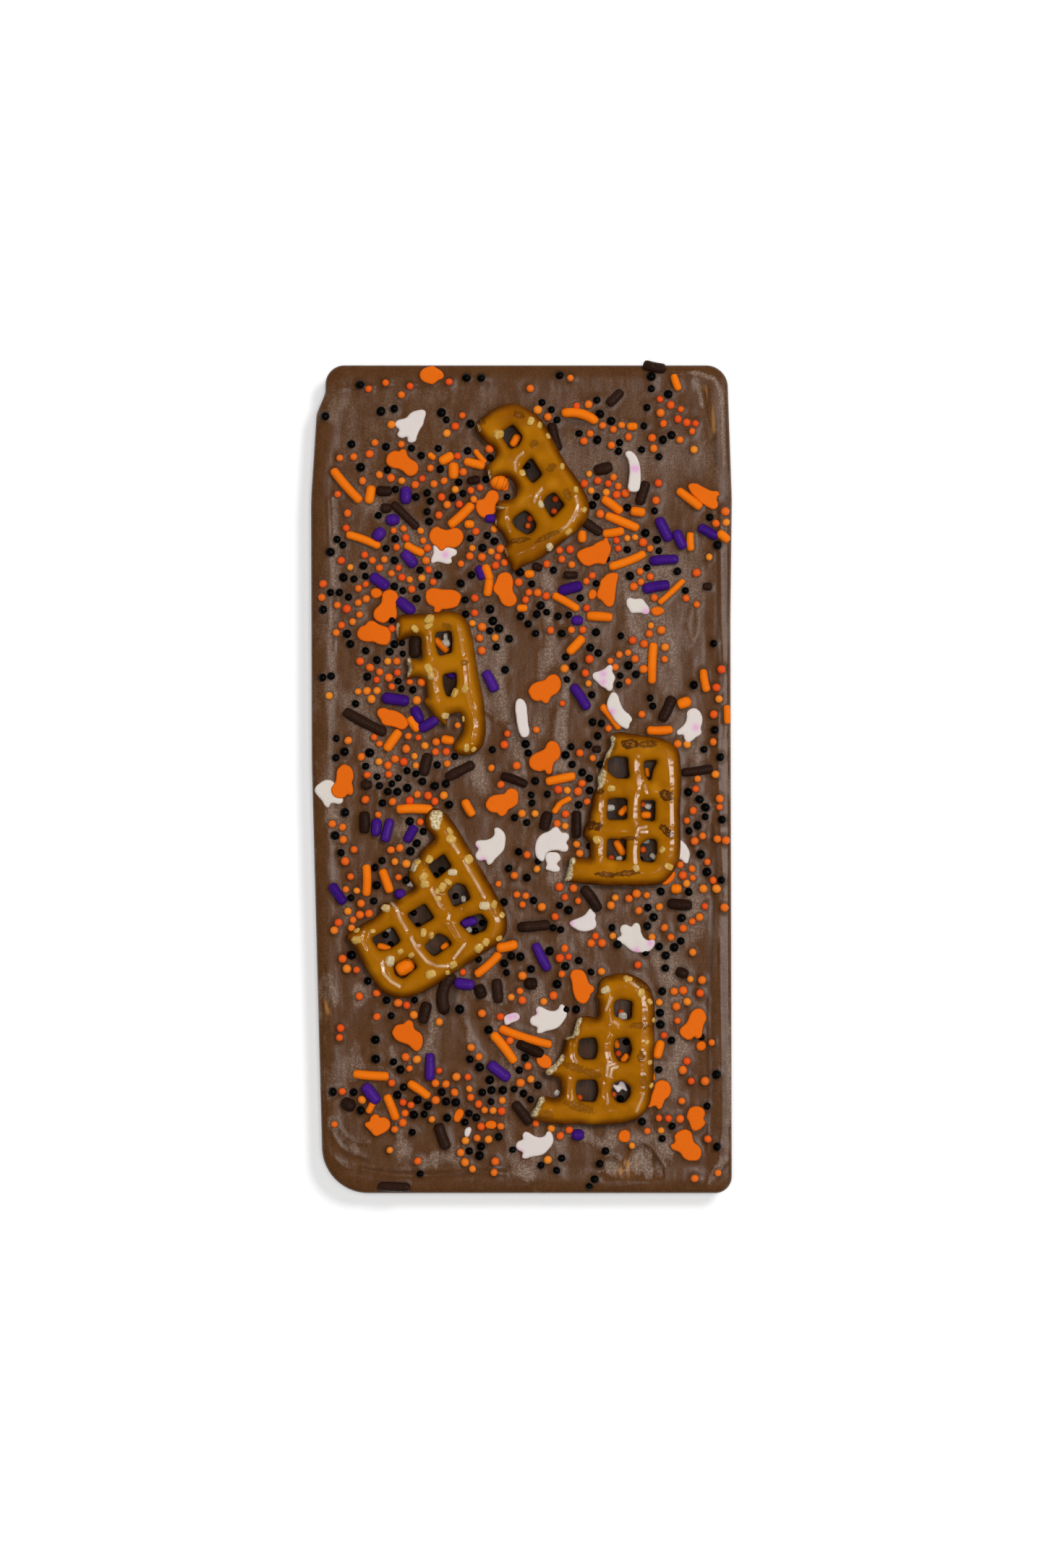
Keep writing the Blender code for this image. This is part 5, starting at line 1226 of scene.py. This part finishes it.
# Broken, tilted and part-hidden ones: middle, thickness in millimetres, height of the top above
# the face, places of the blushes, and the outline about the middle
GHOST_PIECES = (
    (567, 590, 1.2, 0.8, (), ((21, -22), (8, -22), (1, -19), (-6, -12), (-17, -9), (-21, -4), (-19, 1),
     (-15, 4), (-18, 11), (-15, 15), (-9, 16), (-4, 14), (-3, 21), (7, 21), (10, 13), (14, 4), (18, -2),
     (20, -10), (22, -17))),
    (954, 1004, 1.2, 0.9, ((962, 1006),), ((-4, -20), (5, -25), (12, -22), (17, -13), (17, -5), (15, 3),
     (16, 10), (8, 16), (2, 21), (-4, 23), (-8, 18), (-10, 12), (-16, 13), (-19, 8), (-14, 3), (-8, -3),
     (-5, -11))),
    (835, 937, 1.2, 1.0, ((834, 943), (834, 932)), ((9, -18), (12, -15), (12, -8), (16, 0), (13, 8),
     (12, 16), (7, 19), (2, 15), (-4, 12), (-9, 7), (-16, -1), (-15, -6), (-7, -9), (0, -12))),
    (857, 983, 1.6, 2.0, ((846, 984),), ((-9, -26), (-3, -22), (0, -13), (6, -1), (14, 6), (17, 13),
     (14, 17), (11, 25), (4, 23), (-4, 17), (-12, 6), (-18, -6), (-16, -18))),
    (722, 992, 2.6, 2.4, (), ((-7, -25), (-2, -26), (4, -21), (7, -6), (8, 7), (10, 22), (8, 26), (1, 28),
     (-3, 24), (-7, 11), (-9, -3), (-10, -14))),
    (874, 653, 2.6, 2.4, ((876, 649), (880, 649)), ((-10, -26), (-4, -29), (2, -26), (8, -17), (11, -6),
     (12, 6), (11, 19), (8, 27), (-1, 28), (-5, 26), (-5, 11), (-4, -2), (-6, -16))),
    (806, 1273, 1.2, 0.9, ((789, 1276),), ((10, -17), (13, -14), (18, -8), (17, -3), (19, 4), (17, 10),
     (9, 14), (-1, 15), (-11, 11), (-19, 3), (-16, 0), (-6, -4), (2, -8), (7, -14))),
    (452, 1098, 1.2, 0.5, (), ((-17, -6), (-9, -16), (0, -20), (8, -18), (14, -10), (22, 4), (22, 11),
     (18, 14), (10, 13), (6, 13), (2, 19), (-2, 17), (-7, 9), (-14, 1))),
    (612, 769, 1.2, 0.5, ((616, 767),), ((-12, -16), (-3, -17), (7, -15), (15, -11), (20, -7), (18, -1),
     (12, 2), (13, 8), (8, 11), (-2, 9), (-8, 8), (-15, 10), (-16, 4), (-13, -4))),
    (881, 838, 1.2, 0.9, ((893, 846),), ((-13, -11), (-3, -10), (7, -10), (12, -4), (17, 4), (16, 10),
     (11, 12), (6, 10), (-3, 10), (-8, 10), (-12, 4), (-15, -2))),
    (763, 1166, 1.2, 0.9, (), ((-23, 14), (-23, 2), (-19, -8), (-12, -14), (-4, -17), (2, -22), (7, -23),
     (11, -19), (14, -15), (19, -15), (24, -11), (23, -5), (20, -1), (23, 4), (22, 10), (16, 12), (9, 10),
     (2, 10), (-5, 12), (-9, 17), (-11, 24), (-15, 25), (-20, 21))),
    (764, 1191, 1.2, 0.8, (), ((-7, -12), (0, -13), (7, -12), (11, -7), (11, -2), (7, 2), (6, 4), (10, 8),
     (10, 13), (4, 15), (-4, 13), (-10, 10), (-8, 4), (-10, -2), (-10, -8))),
    (708, 1408, 1.6, 1.0, ((712, 1405), (705, 1406)), ((-11, -2), (-2, -7), (6, -8), (10, -5), (10, 1),
     (0, 6), (-9, 9), (-11, 4))),
    (646, 1565, 1.2, 0.8, (), ((-2, -5), (4, -7), (6, -4), (4, 3), (1, 7), (-3, 6), (-4, 0))),
    (945, 1177, 1.2, 1.0, (), ((-6, -16), (1, -12), (6, -5), (9, 3), (8, 10), (5, 17), (1, 16), (-3, 12),
     (-10, 8), (-12, -2), (-10, -12))),
    (857, 1503, 1.2, 0.2, (), ((-10, -5), (-4, -2), (1, -8), (6, -6), (9, 0), (10, 6), (3, 3), (-2, 8),
     (-6, 4))),
)
# Thickness of a whole pumpkin and of a whole ghost, the height of a ghost's top above the face and
# the range of a pumpkin's, the round of their edges, all in millimetres, and the mesh's voxels
PUMPKIN_THICK, PUMPKIN_TOPS = 1.3, (0.75, 1.0)
GHOST_THICK, GHOST_TOP = 1.2, 0.8
DROP_ROUND = 0.28
DROP_VOXEL = 0.00021
# How wide a blush is, as the square of a distance in pixels
BLUSH = 26


def sugar_drop(outline, x, y, turn, thick, top):
    """A flat drop of sugar with soft edges, its top at a height above the face."""
    bpy.ops.object.select_all(action="DESELECT")
    bpy.ops.curve.primitive_bezier_circle_add()
    drop = bpy.context.object
    line = drop.data
    line.dimensions = "2D"
    line.fill_mode = "BOTH"
    line.resolution_u = 4
    line.extrude = (thick / 2 - DROP_ROUND) / 1000
    line.bevel_depth = DROP_ROUND / 1000
    line.bevel_resolution = 1
    line.offset = -DROP_ROUND / 1000
    knots = line.splines[0].bezier_points
    knots.add(len(outline) - len(knots))
    cos, sin = math.cos(math.radians(turn)), math.sin(math.radians(turn))
    for knot, (across, down) in zip(knots, outline):
        knot.handle_left_type = knot.handle_right_type = "AUTO"
        knot.co = Vector(((across * cos - down * sin) * PIXEL, -(across * sin + down * cos) * PIXEL, 0))
    bpy.ops.object.convert(target="MESH")
    drop = bpy.context.object
    apply_modifier(drop, "REMESH", mode="VOXEL", voxel_size=DROP_VOXEL)
    apply_modifier(drop, "SMOOTH", iterations=2)
    draw = random.Random(int(x * 7 + y))
    lean, tilt = (Matrix.Rotation(draw.uniform(-0.05, 0.05), 4, axis) for axis in "XY")
    drop.data.transform(Matrix.Translation(on_bar(x, y, FACE + top - thick / 2)) @ (lean @ tilt))
    paint(drop.data, "shade", np.full(len(drop.data.vertices), draw.random()))
    return drop


def joined(name, pieces):
    """One object from several."""
    bpy.ops.object.select_all(action="DESELECT")
    for piece in pieces:
        piece.select_set(True)
    bpy.context.view_layer.objects.active = pieces[0]
    bpy.ops.object.join()
    made = bpy.context.object
    made.name = name
    bpy.ops.object.shade_smooth()
    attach(made, "root")
    return made


draw = random.Random(8)
drops = []
for x, y, shape in PUMPKINS:
    drops.append(sugar_drop(shape, x, y, 0, PUMPKIN_THICK, draw.uniform(*PUMPKIN_TOPS)))
for x, y, turn, length, width in PUMPKIN_BITS:
    shape = [(length / 2 * math.cos(angle) * draw.uniform(0.85, 1.1),
              width / 2 * math.sin(angle) * draw.uniform(0.85, 1.1))
             for angle in (0, 0.9, 1.8, 2.7, 3.6, 4.5, 5.4)]
    drops.append(sugar_drop(shape, x, y, turn, PUMPKIN_THICK, draw.uniform(*PUMPKIN_TOPS)))
pumpkins = joined("pumpkin_drops", drops)
pumpkins.data.materials.append(
    sugar("orange_drops", ((0.74, 0.13, 0.004), (0.78, 0.145, 0.005)), 0.62, 0.30, 0.10))

drops, blushes = [], []
for x, y, turn, spots in WHOLE_GHOSTS:
    drops.append(sugar_drop(WHOLE_GHOST, x, y, turn, GHOST_THICK, GHOST_TOP))
    blushes += spots
for x, y, thick, top, spots, shape in GHOST_PIECES:
    drops.append(sugar_drop(shape, x, y, 0, thick, top))
    blushes += spots
ghosts = joined("ghost_drops", drops)
_, x, y = places_of(ghosts.data)
blush = np.zeros(len(x))
for spot_x, spot_y in blushes:
    blush = np.maximum(blush, np.exp(-((x - spot_x) ** 2 + (y - spot_y) ** 2) / BLUSH))
paint(ghosts.data, "blush", blush)
icing = Finish("white_sugar", Roughness=0.6)
iced = icing.layers(
    icing.blend(icing.noise(4.0, detail=2), (0.66, 0.595, 0.53), (0.74, 0.675, 0.605)),
    (icing.painted("shade") * 0.35, (0.76, 0.62, 0.65)),
    (icing.painted("blush") * 0.85, (0.74, 0.33, 0.6)),
    # Chocolate dust
    (icing.step(icing.noise(0.5, detail=1), 0.76, 0.80) * 0.5, (0.3, 0.24, 0.2)))
icing.feed(Base_Color=iced, Normal=icing.bumps(icing.noise(0.4), 0.06))
ghosts.data.materials.append(icing.material)


# The small beads: round sugar pearls, orange from yellowish to red and glossy black, thrown in
# drifts over the soft chocolate. No two touch, and none lies on a larger sprinkle or a pretzel.

# How wide a bead is, at least and at most, and the radius of one placed singly
BEAD_SIZES = (10.2, 13.2)
SINGLE_BEAD = 4.9
# The part of the face that has beads: its left, right, top and bottom
BEADED_FACE = (437, 1010, 508, 1646)
# How many places are tried for a bead before it is left out
TRIES = 60
# Where they lie: middle x and y, reach, number of orange ones, number of black ones
BEAD_DRIFTS = (
    (540, 545, 45, 4, 3), (625, 590, 26, 3, 3), (450, 574, 4, 0, 1), (492, 640, 28, 4, 2),
    (545, 612, 30, 3, 2), (555, 665, 30, 5, 5), (605, 665, 30, 6, 8), (495, 700, 35, 3, 0),
    (438, 687, 3, 0, 1), (638, 672, 30, 8, 0), (650, 530, 30, 1, 2), (735, 535, 4, 1, 0),
    (786, 517, 10, 1, 1), (668, 655, 20, 1, 4), (750, 580, 18, 2, 3), (815, 580, 30, 5, 5),
    (817, 676, 24, 4, 1), (903, 530, 14, 0, 2), (918, 568, 24, 6, 2), (956, 603, 22, 5, 0),
    (850, 600, 24, 4, 2), (905, 608, 26, 2, 5), (860, 675, 26, 6, 3), (902, 685, 20, 2, 1),
    (1000, 715, 18, 3, 1), (478, 768, 30, 3, 5), (468, 825, 30, 6, 4), (503, 832, 22, 4, 2),
    (478, 875, 18, 2, 2), (560, 738, 28, 6, 4), (527, 778, 26, 6, 1), (587, 757, 20, 5, 0),
    (583, 808, 26, 4, 8), (630, 795, 28, 1, 2), (543, 875, 16, 1, 3), (660, 737, 20, 1, 4),
    (683, 756, 20, 7, 0), (656, 765, 8, 2, 0), (708, 800, 22, 2, 2), (746, 845, 32, 4, 7),
    (648, 845, 22, 3, 2), (672, 880, 26, 4, 6), (775, 775, 22, 5, 1), (806, 802, 20, 2, 2),
    (800, 860, 35, 3, 3), (840, 735, 24, 3, 3), (868, 752, 22, 4, 4), (890, 792, 26, 4, 3),
    (950, 808, 28, 3, 2), (903, 827, 10, 2, 0), (907, 870, 14, 3, 0), (850, 895, 24, 3, 1),
    (895, 905, 26, 6, 1), (973, 762, 26, 1, 1), (989, 893, 4, 0, 1), (509, 918, 20, 2, 3),
    (530, 950, 22, 5, 1), (500, 961, 14, 3, 1), (450, 950, 22, 1, 2), (555, 922, 18, 4, 2),
    (573, 952, 24, 2, 3), (530, 985, 24, 1, 1), (560, 1030, 26, 10, 0), (500, 1045, 38, 3, 6),
    (532, 1068, 18, 2, 1), (566, 1065, 24, 0, 4), (534, 1088, 12, 0, 3), (612, 1042, 18, 4, 2),
    (606, 1072, 22, 0, 2), (582, 1095, 22, 5, 0), (735, 950, 60, 3, 1), (806, 914, 24, 2, 5),
    (815, 953, 10, 1, 1), (700, 1045, 32, 3, 3), (690, 1072, 14, 2, 0), (738, 1090, 26, 0, 3),
    (806, 1052, 26, 2, 7), (785, 1085, 24, 4, 3), (862, 930, 16, 2, 3), (985, 950, 30, 3, 1),
    (900, 985, 20, 1, 2), (836, 1005, 16, 1, 3), (935, 1024, 16, 2, 1), (985, 1010, 28, 2, 2),
    (1000, 1060, 22, 1, 1), (946, 1080, 24, 2, 1), (985, 1105, 20, 2, 2), (503, 1109, 5, 1, 0),
    (573, 1108, 28, 1, 4), (555, 1137, 30, 2, 1), (474, 1142, 20, 2, 2), (479, 1175, 18, 3, 1),
    (553, 1177, 24, 3, 2), (545, 1204, 22, 2, 4), (500, 1225, 24, 4, 2), (496, 1260, 24, 6, 1),
    (464, 1282, 5, 1, 0), (722, 1115, 20, 2, 2), (805, 1120, 22, 4, 1), (781, 1131, 16, 1, 2),
    (725, 1172, 12, 1, 1), (785, 1180, 18, 2, 0), (744, 1200, 12, 1, 1), (718, 1219, 24, 2, 2),
    (731, 1250, 20, 3, 1), (765, 1250, 24, 2, 1), (788, 1237, 18, 3, 1), (688, 1235, 16, 1, 1),
    (775, 1285, 12, 0, 2), (970, 1125, 28, 1, 4), (950, 1150, 16, 3, 0), (996, 1152, 12, 2, 0),
    (960, 1200, 24, 6, 2), (980, 1220, 18, 3, 1), (940, 1215, 18, 1, 2), (955, 1255, 20, 3, 1),
    (908, 1260, 20, 1, 2), (895, 1243, 26, 4, 0), (845, 1240, 24, 2, 0), (938, 1282, 24, 3, 0),
    (1000, 1257, 6, 1, 0), (487, 1330, 16, 1, 1), (490, 1358, 24, 3, 1), (530, 1395, 24, 2, 0),
    (560, 1398, 20, 3, 3), (466, 1433, 22, 2, 0), (520, 1441, 5, 0, 1), (562, 1466, 16, 3, 0),
    (520, 1478, 50, 0, 2), (622, 1400, 20, 1, 1), (650, 1333, 20, 1, 2), (712, 1335, 22, 1, 5),
    (752, 1385, 16, 2, 0), (720, 1388, 24, 3, 0), (668, 1397, 6, 1, 0), (683, 1418, 16, 1, 1),
    (668, 1446, 18, 2, 0), (710, 1442, 10, 2, 0), (659, 1463, 10, 0, 2), (715, 1476, 30, 2, 2),
    (780, 1335, 24, 4, 4), (812, 1310, 26, 3, 0), (822, 1346, 10, 1, 1), (792, 1390, 12, 0, 2),
    (848, 1300, 12, 1, 2), (895, 1292, 14, 1, 1), (924, 1305, 18, 0, 4), (905, 1335, 28, 1, 2),
    (960, 1338, 24, 3, 0), (954, 1366, 22, 4, 0), (935, 1380, 22, 2, 1), (945, 1399, 10, 1, 0),
    (908, 1399, 6, 0, 1), (928, 1422, 16, 1, 2), (965, 1442, 20, 1, 1), (956, 1470, 8, 1, 0),
    (975, 1485, 20, 1, 1), (910, 1482, 6, 0, 1), (552, 1507, 20, 1, 3), (595, 1500, 26, 4, 3),
    (635, 1507, 24, 5, 0), (650, 1527, 24, 2, 7), (680, 1540, 22, 5, 0), (662, 1556, 22, 2, 3),
    (695, 1515, 24, 0, 5), (725, 1510, 20, 1, 2), (587, 1536, 18, 1, 3), (560, 1535, 20, 4, 0),
    (500, 1522, 14, 1, 2), (474, 1532, 26, 2, 1), (548, 1575, 24, 2, 1), (575, 1605, 20, 1, 1),
    (642, 1592, 24, 3, 1), (660, 1612, 34, 3, 0), (706, 1586, 6, 0, 1), (752, 1560, 20, 3, 0),
    (790, 1558, 14, 1, 0), (750, 1604, 12, 1, 1), (778, 1622, 24, 0, 2), (813, 1633, 10, 0, 2),
    (828, 1594, 20, 0, 2), (903, 1555, 18, 3, 1), (925, 1560, 18, 2, 2), (940, 1498, 20, 2, 0),
    (934, 1524, 10, 1, 0), (975, 1527, 8, 0, 1), (972, 1580, 18, 1, 1), (974, 1617, 20, 2, 0),
    (872, 1579, 6, 1, 0),
)
# Single ones low in the pretzels' windows: middle x and y
ORANGE_WINDOW_BEADS = (
    (889, 1112), (894, 1129), (861, 1123), (845, 1187), (889, 1175), (712, 607), (733, 717), (730, 727),
    (768, 690), (766, 707), (855, 1457), (859, 1400), (801, 1518), (848, 1514),
)
BLACK_WINDOW_BEADS = (
    (885, 1188), (729, 644), (866, 1441), (858, 1519), (611, 1203), (602, 1211), (630, 1239), (578, 1280),
    (572, 1262), (667, 1276), (657, 1287), (533, 1293), (540, 1306),
)
# Single ones on the face, in the notches of the pretzels
ORANGE_NOTCH_BEADS = ((633, 1003), (628, 978))
BLACK_NOTCH_BEADS = ((701, 687), (557, 904), (815, 1170), (556, 889))


def middle_line(x, y, turn, length, width, *_):
    """The ends of a stick's middle line, each half a width in from the stick's end."""
    half = max(length - width, 0) / 2
    across, down = half * math.cos(math.radians(turn)), half * math.sin(math.radians(turn))
    return (x - across, y - down), (x + across, y + down)


def larger_sprinkles():
    """The larger sprinkles, each as a capsule: its two ends and its radius."""
    capsules = []
    for stick in ORANGE_STICKS + PURPLE_STICKS + BROWN_STICKS + ORANGE_BITS + PUMPKIN_BITS:
        start, stop = middle_line(*stick)
        capsules.append((*start, *stop, stick[4] / 2))
    capsules += [(x, y, x, y, 17) for x, y, *_ in WHOLE_GHOSTS]
    for x, y, shape in PUMPKINS:
        farthest = sorted(shape, key=lambda spot: math.hypot(*spot))[-1]
        half = max(math.hypot(*farthest) - 13, 0) / max(math.hypot(*farthest), 1)
        across, down = farthest[0] * half, farthest[1] * half
        capsules.append((x - across, y - down, x + across, y + down, 13))
    for x, y, _, _, _, shape in GHOST_PIECES:
        capsules.append((x, y, x, y, sum(math.hypot(*spot) for spot in shape) / len(shape)))
    return capsules


def capsule_gap(x, y, x0, y0, x1, y1, radius):
    """The distance from a place to a capsule's side."""
    along_x, along_y = x1 - x0, y1 - y0
    length = along_x ** 2 + along_y ** 2 or 1.0
    part = min(max(((x - x0) * along_x + (y - y0) * along_y) / length, 0), 1)
    return math.hypot(x - x0 - along_x * part, y - y0 - along_y * part) - radius


def is_free(x, y, radius, beads, capsules):
    """Whether a bead has room at a place, and no pretzel under it."""
    first_x, last_x, first_y, last_y = BEADED_FACE
    if not (first_x + radius < x < last_x - radius and first_y + radius < y < last_y - radius):
        return False
    if any(math.hypot(x - a, y - b) < radius + size for a, b, size in beads):
        return False
    if any(capsule_gap(x, y, *capsule) < radius - 0.5 for capsule in capsules):
        return False
    above, edge = on_bar(x, y, SKY), radius * 0.7 * PIXEL
    return not any(pretzel_tree.ray_cast(above + Vector((a * edge, b * edge, 0)), DOWN)[0]
                   for a, b in ((0, 0), (1, 0), (-1, 0), (0, 1), (0, -1)))


def scattered_beads():
    """The orange beads and the black ones, each as x, y, radius: the single ones in the windows
    first, then those in the notches and those of the drifts."""
    orange_ones, black_ones = ([(x, y, SINGLE_BEAD) for x, y in spots] for spots in (
        ORANGE_WINDOW_BEADS + ORANGE_NOTCH_BEADS, BLACK_WINDOW_BEADS + BLACK_NOTCH_BEADS))
    capsules = larger_sprinkles()
    draw = random.Random(31)
    for x, y, reach, orange, black in BEAD_DRIFTS:
        for index in range(orange + black):
            for attempt in range(TRIES):
                angle = draw.uniform(0, 2 * math.pi)
                away = reach * math.sqrt(draw.random()) * (1 + attempt / TRIES)
                bead = x + away * math.cos(angle), y + away * math.sin(angle), draw.uniform(*BEAD_SIZES) / 2
                if is_free(*bead, orange_ones + black_ones, capsules):
                    (orange_ones if index < orange else black_ones).append(bead)
                    break
    return orange_ones, black_ones


orange_ones, black_ones = scattered_beads()
orange_shades = ((0.77, 0.078, 0.01), (0.79, 0.11, 0.011), (0.79, 0.137, 0.012), (0.8, 0.165, 0.013),
                 (0.84, 0.26, 0.022))
black_shades = ((0.0012, 0.0012, 0.0012), (0.0035, 0.0032, 0.003))
# Each kind: the beads, how many of them lie low in windows, the sugar and its slot
bead_kinds = (
    ("orange_pearls", orange_ones, len(ORANGE_WINDOW_BEADS),
     sugar("orange_pearl", orange_shades, 0.5, 0.4, 0.07), "orange_sugar"),
    ("black_pearls", black_ones, len(BLACK_WINDOW_BEADS),
     sugar("black_pearl", black_shades, 0.28, 0.5, 0.05), "black_sugar"),
)
for name, beads, low_count, finish, slot in bead_kinds:
    draw = random.Random(len(name))
    bpy.ops.object.select_all(action="DESELECT")
    bpy.ops.mesh.primitive_ico_sphere_add(subdivisions=2, radius=1.0)
    bead_model = bpy.context.object
    bpy.ops.object.shade_smooth()
    placings = []
    for index, (x, y, radius) in enumerate(beads):
        is_low = index < low_count
        size = radius * PIXEL
        shape = Matrix.Diagonal((size, size * draw.uniform(0.9, 1.05), size * draw.uniform(0.85, 1), 1))
        foot = on_bar(x, y, FACE - WINDOW_DROP if is_low else FACE)
        where = Matrix.Translation(foot + Vector((0, 0, size * draw.uniform(0.15, 0.6))))
        # Those in the windows are the redder and darker ones, in the shade
        tint = draw.random() * (0.3 if is_low else 1)
        placings.append((where @ Matrix.Rotation(draw.uniform(0, 6.3), 4, "Z") @ shape, tint))
    pearls = joined_copies(name, bead_model, placings)
    pearls.data.materials.append(finish)
    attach(pearls, "root")


# The chocolate about the toppings: while soft it was drawn up a little round each one, and it lies
# low in the pretzels' windows. A painted contact shade darkens the foot of each topping, a painted
# shadow lies beside each pretzel, and painted shade fills the windows. The bar's mesh and what is
# painted on it are finished here, once all that stands in the chocolate has its place.

# Windows where the chocolate below is painted as lying in the light, with less painted shade and
# more painted sheen: middle x and y, and how much of it
WINDOW_SHEENS = (
    (857, 1384, 1.0), (812, 1452, 0.6), (808, 1505, 0.6), (840, 1105, 0.7), (838, 1168, 0.6),
    (628, 1228, 0.8), (580, 1262, 0.5), (603, 1300, 0.7), (850, 1062, 0.35), (895, 1052, 0.3),
    (905, 1174, 0.3), (866, 1435, 0.3), (530, 1290, 0.3), (625, 930, 0.4),
)
SHEEN_REACH = 13
# How high the chocolate is drawn up, and how low it lies in the windows, in millimetres
DRAWN_UP, DRAWN_UP_PRETZEL = 0.08, 0.10
HOLLOW_DEPTH = 0.75
# The reach of the rise, of the painted contact shade and of both at a pretzel, and the width at
# the bar's edge that stays level, in pixels
RISE_REACH, LINE_REACH, PRETZEL_REACH = 3.0, 2.4, 4
LEVEL_EDGE = 8
# How much satin and painted sheen the rise shows, and how far right and up the painted shadow of
# a pretzel is left out
RISE_SATIN_SHEEN = 0.22
SHADOW = 3


def gaps_to_sprinkles():
    """The gap from each place on the face to each sprinkle, and the satin and painted sheen that the
    rise shows.
    """
    for x, y, radius in orange_ones[len(ORANGE_WINDOW_BEADS):] + black_ones[len(BLACK_WINDOW_BEADS):]:
        yield np.maximum(np.hypot(bar_x - x, bar_y - y) - radius, 0), RISE_SATIN_SHEEN
    for x, y, shape in PUMPKINS:
        yield route_distance(bar_x, bar_y, [(x + across, y + down) for across, down in shape], closed=True), 0
    for stick in ORANGE_STICKS + PURPLE_STICKS + BROWN_STICKS:
        yield np.maximum(route_distance(bar_x, bar_y, middle_line(*stick)) - stick[4] / 2, 0), RISE_SATIN_SHEEN


hollow, contact_shade = np.zeros_like(bar_x), np.zeros_like(bar_x)
off_edge = np.clip(inside / LEVEL_EDGE, 0, 1)
# The rise round each sprinkle, its satin with painted sheen and the painted contact shade at its foot
for gap, rise_satin_sheen in gaps_to_sprinkles():
    height += DRAWN_UP * bell(gap, RISE_REACH) * off_edge
    satin += rise_satin_sheen * bell(gap, RISE_REACH)
    contact_shade = np.maximum(contact_shade, bell(gap, LINE_REACH))
for outline, windows, strands in PRETZELS.values():
    gap = np.min([route_distance(bar_x, bar_y, loop, closed=True) for loop in (outline, *windows)], axis=0)
    # Painted shadow beside each pretzel, below and to the left
    shaded = route_distance(bar_x + SHADOW, bar_y - SHADOW, outline, closed=True)
    contact_shade = np.maximum(contact_shade, 1.2 * bell(shaded, PRETZEL_REACH))
    # The windows' floors lie lower and get painted shade
    for window in windows:
        middle_x, middle_y = np.mean(window, axis=0)
        reach = np.mean([math.hypot(x - middle_x, y - middle_y) for x, y in window])
        away = np.hypot(bar_x - middle_x, bar_y - middle_y)
        hollow = np.maximum(hollow, np.clip(4.5 - 3.0 * away / reach, 0, 1))
    height += DRAWN_UP_PRETZEL * bell(gap, PRETZEL_REACH) * off_edge * (1 - hollow)
height -= HOLLOW_DEPTH * hollow
satin -= 1.5 * hollow
places, _, _ = places_of(bar.data)
places[:len(row), 2] = height[row, column] / 1000
bar.data.vertices.foreach_set("co", places.ravel())
# Painted light on the chocolate in some windows
for x, y, sheen in WINDOW_SHEENS:
    glimpse = sheen * bell(np.hypot(bar_x - x, bar_y - y), SHEEN_REACH)
    hollow *= 1 - 0.8 * glimpse
    satin += 2.0 * glimpse
# Painted contact shade and painted shade in the folds and grooves
hollow = np.maximum(hollow, 0.55 * contact_shade)
for strength, half_width, route in DARK_LINES:
    hollow = np.maximum(hollow, strength * bell(route_distance(bar_x, bar_y, route), half_width))
for name, values in (("satin", np.clip(satin, 0, 1.3)), ("amber", amber), ("hollow", hollow),
                     ("mottled", mottled)):
    spread = np.zeros(len(places))
    spread[:len(row)] = values[row, column]
    paint(bar.data, name, spread)
bar.data.update()


# The floor, the light and the camera: a white table under a soft box a little to the right of
# the lens, with broad weak light from all sides.

# How bright the table is of itself, and the light from all sides
TABLE_GLOW = 0.185
ROOM_LIGHT = 0.12
# The photograph's height and the pixel at its middle, which the lens is over
PHOTO_HEIGHT = 2168
LENS_PLACE = (722.5, 1084)
FILM_WIDTH = 36.0

bpy.ops.object.select_all(action="DESELECT")
bpy.ops.mesh.primitive_plane_add(size=3.0, location=(0, 0, -0.0001))
table = bpy.context.object
table.name = "white_table"
paper = Finish("white_paper", Roughness=0.9, Emission_Color=(1.0, 1.0, 1.0, 1.0),
               Emission_Strength=TABLE_GLOW)
paper.feed(Base_Color=paper.blend(paper.noise(400, detail=1), (0.90, 0.90, 0.90), (0.92, 0.92, 0.92)))
table.data.materials.append(paper.material)


def soft_box(name, place, width, length, power, shines):
    """A flat light that faces the bar and only fills or only gleams."""
    bpy.ops.object.light_add(type="AREA", location=place)
    lamp = bpy.context.object
    lamp.name = name
    lamp.data.shape = "RECTANGLE"
    lamp.data.size = width
    lamp.data.size_y = length
    lamp.data.energy = power
    lamp.visible_glossy = shines != "fills"
    lamp.visible_diffuse = shines != "gleams"
    lamp.rotation_euler = (-Vector(place)).to_track_quat("-Z", "Y").to_euler()


soft_box("key", (0.60, 0.60, 1.30), 0.36, 0.36, 10.0, "fills")
soft_box("gleam", GLEAM_LAMP, 0.16, 1.06, 7.8, "gleams")
soft_box("ceiling", (0.0, 0.0, 1.80), 0.5, 0.5, 17.4, "fills")
world = bpy.data.worlds.new("studio")
bpy.context.scene.world = world
world.cycles_visibility.glossy = False
world.use_nodes = True
world.node_tree.nodes["Background"].inputs["Color"].default_value = (1.0, 1.0, 1.0, 1.0)
world.node_tree.nodes["Background"].inputs["Strength"].default_value = ROOM_LIGHT
bpy.context.scene.view_settings.view_transform = "Standard"

over_lens_place = on_bar(*LENS_PLACE, FACE) + Vector((0, 0, CAMERA_HEIGHT))
bpy.ops.object.camera_add(location=over_lens_place, rotation=(0, 0, 0))
camera = bpy.context.object
camera.data.sensor_width = FILM_WIDTH
camera.data.lens = FILM_WIDTH * CAMERA_HEIGHT / (PHOTO_HEIGHT * PIXEL)
camera.data.clip_end = 20.0
bpy.context.scene.camera = camera
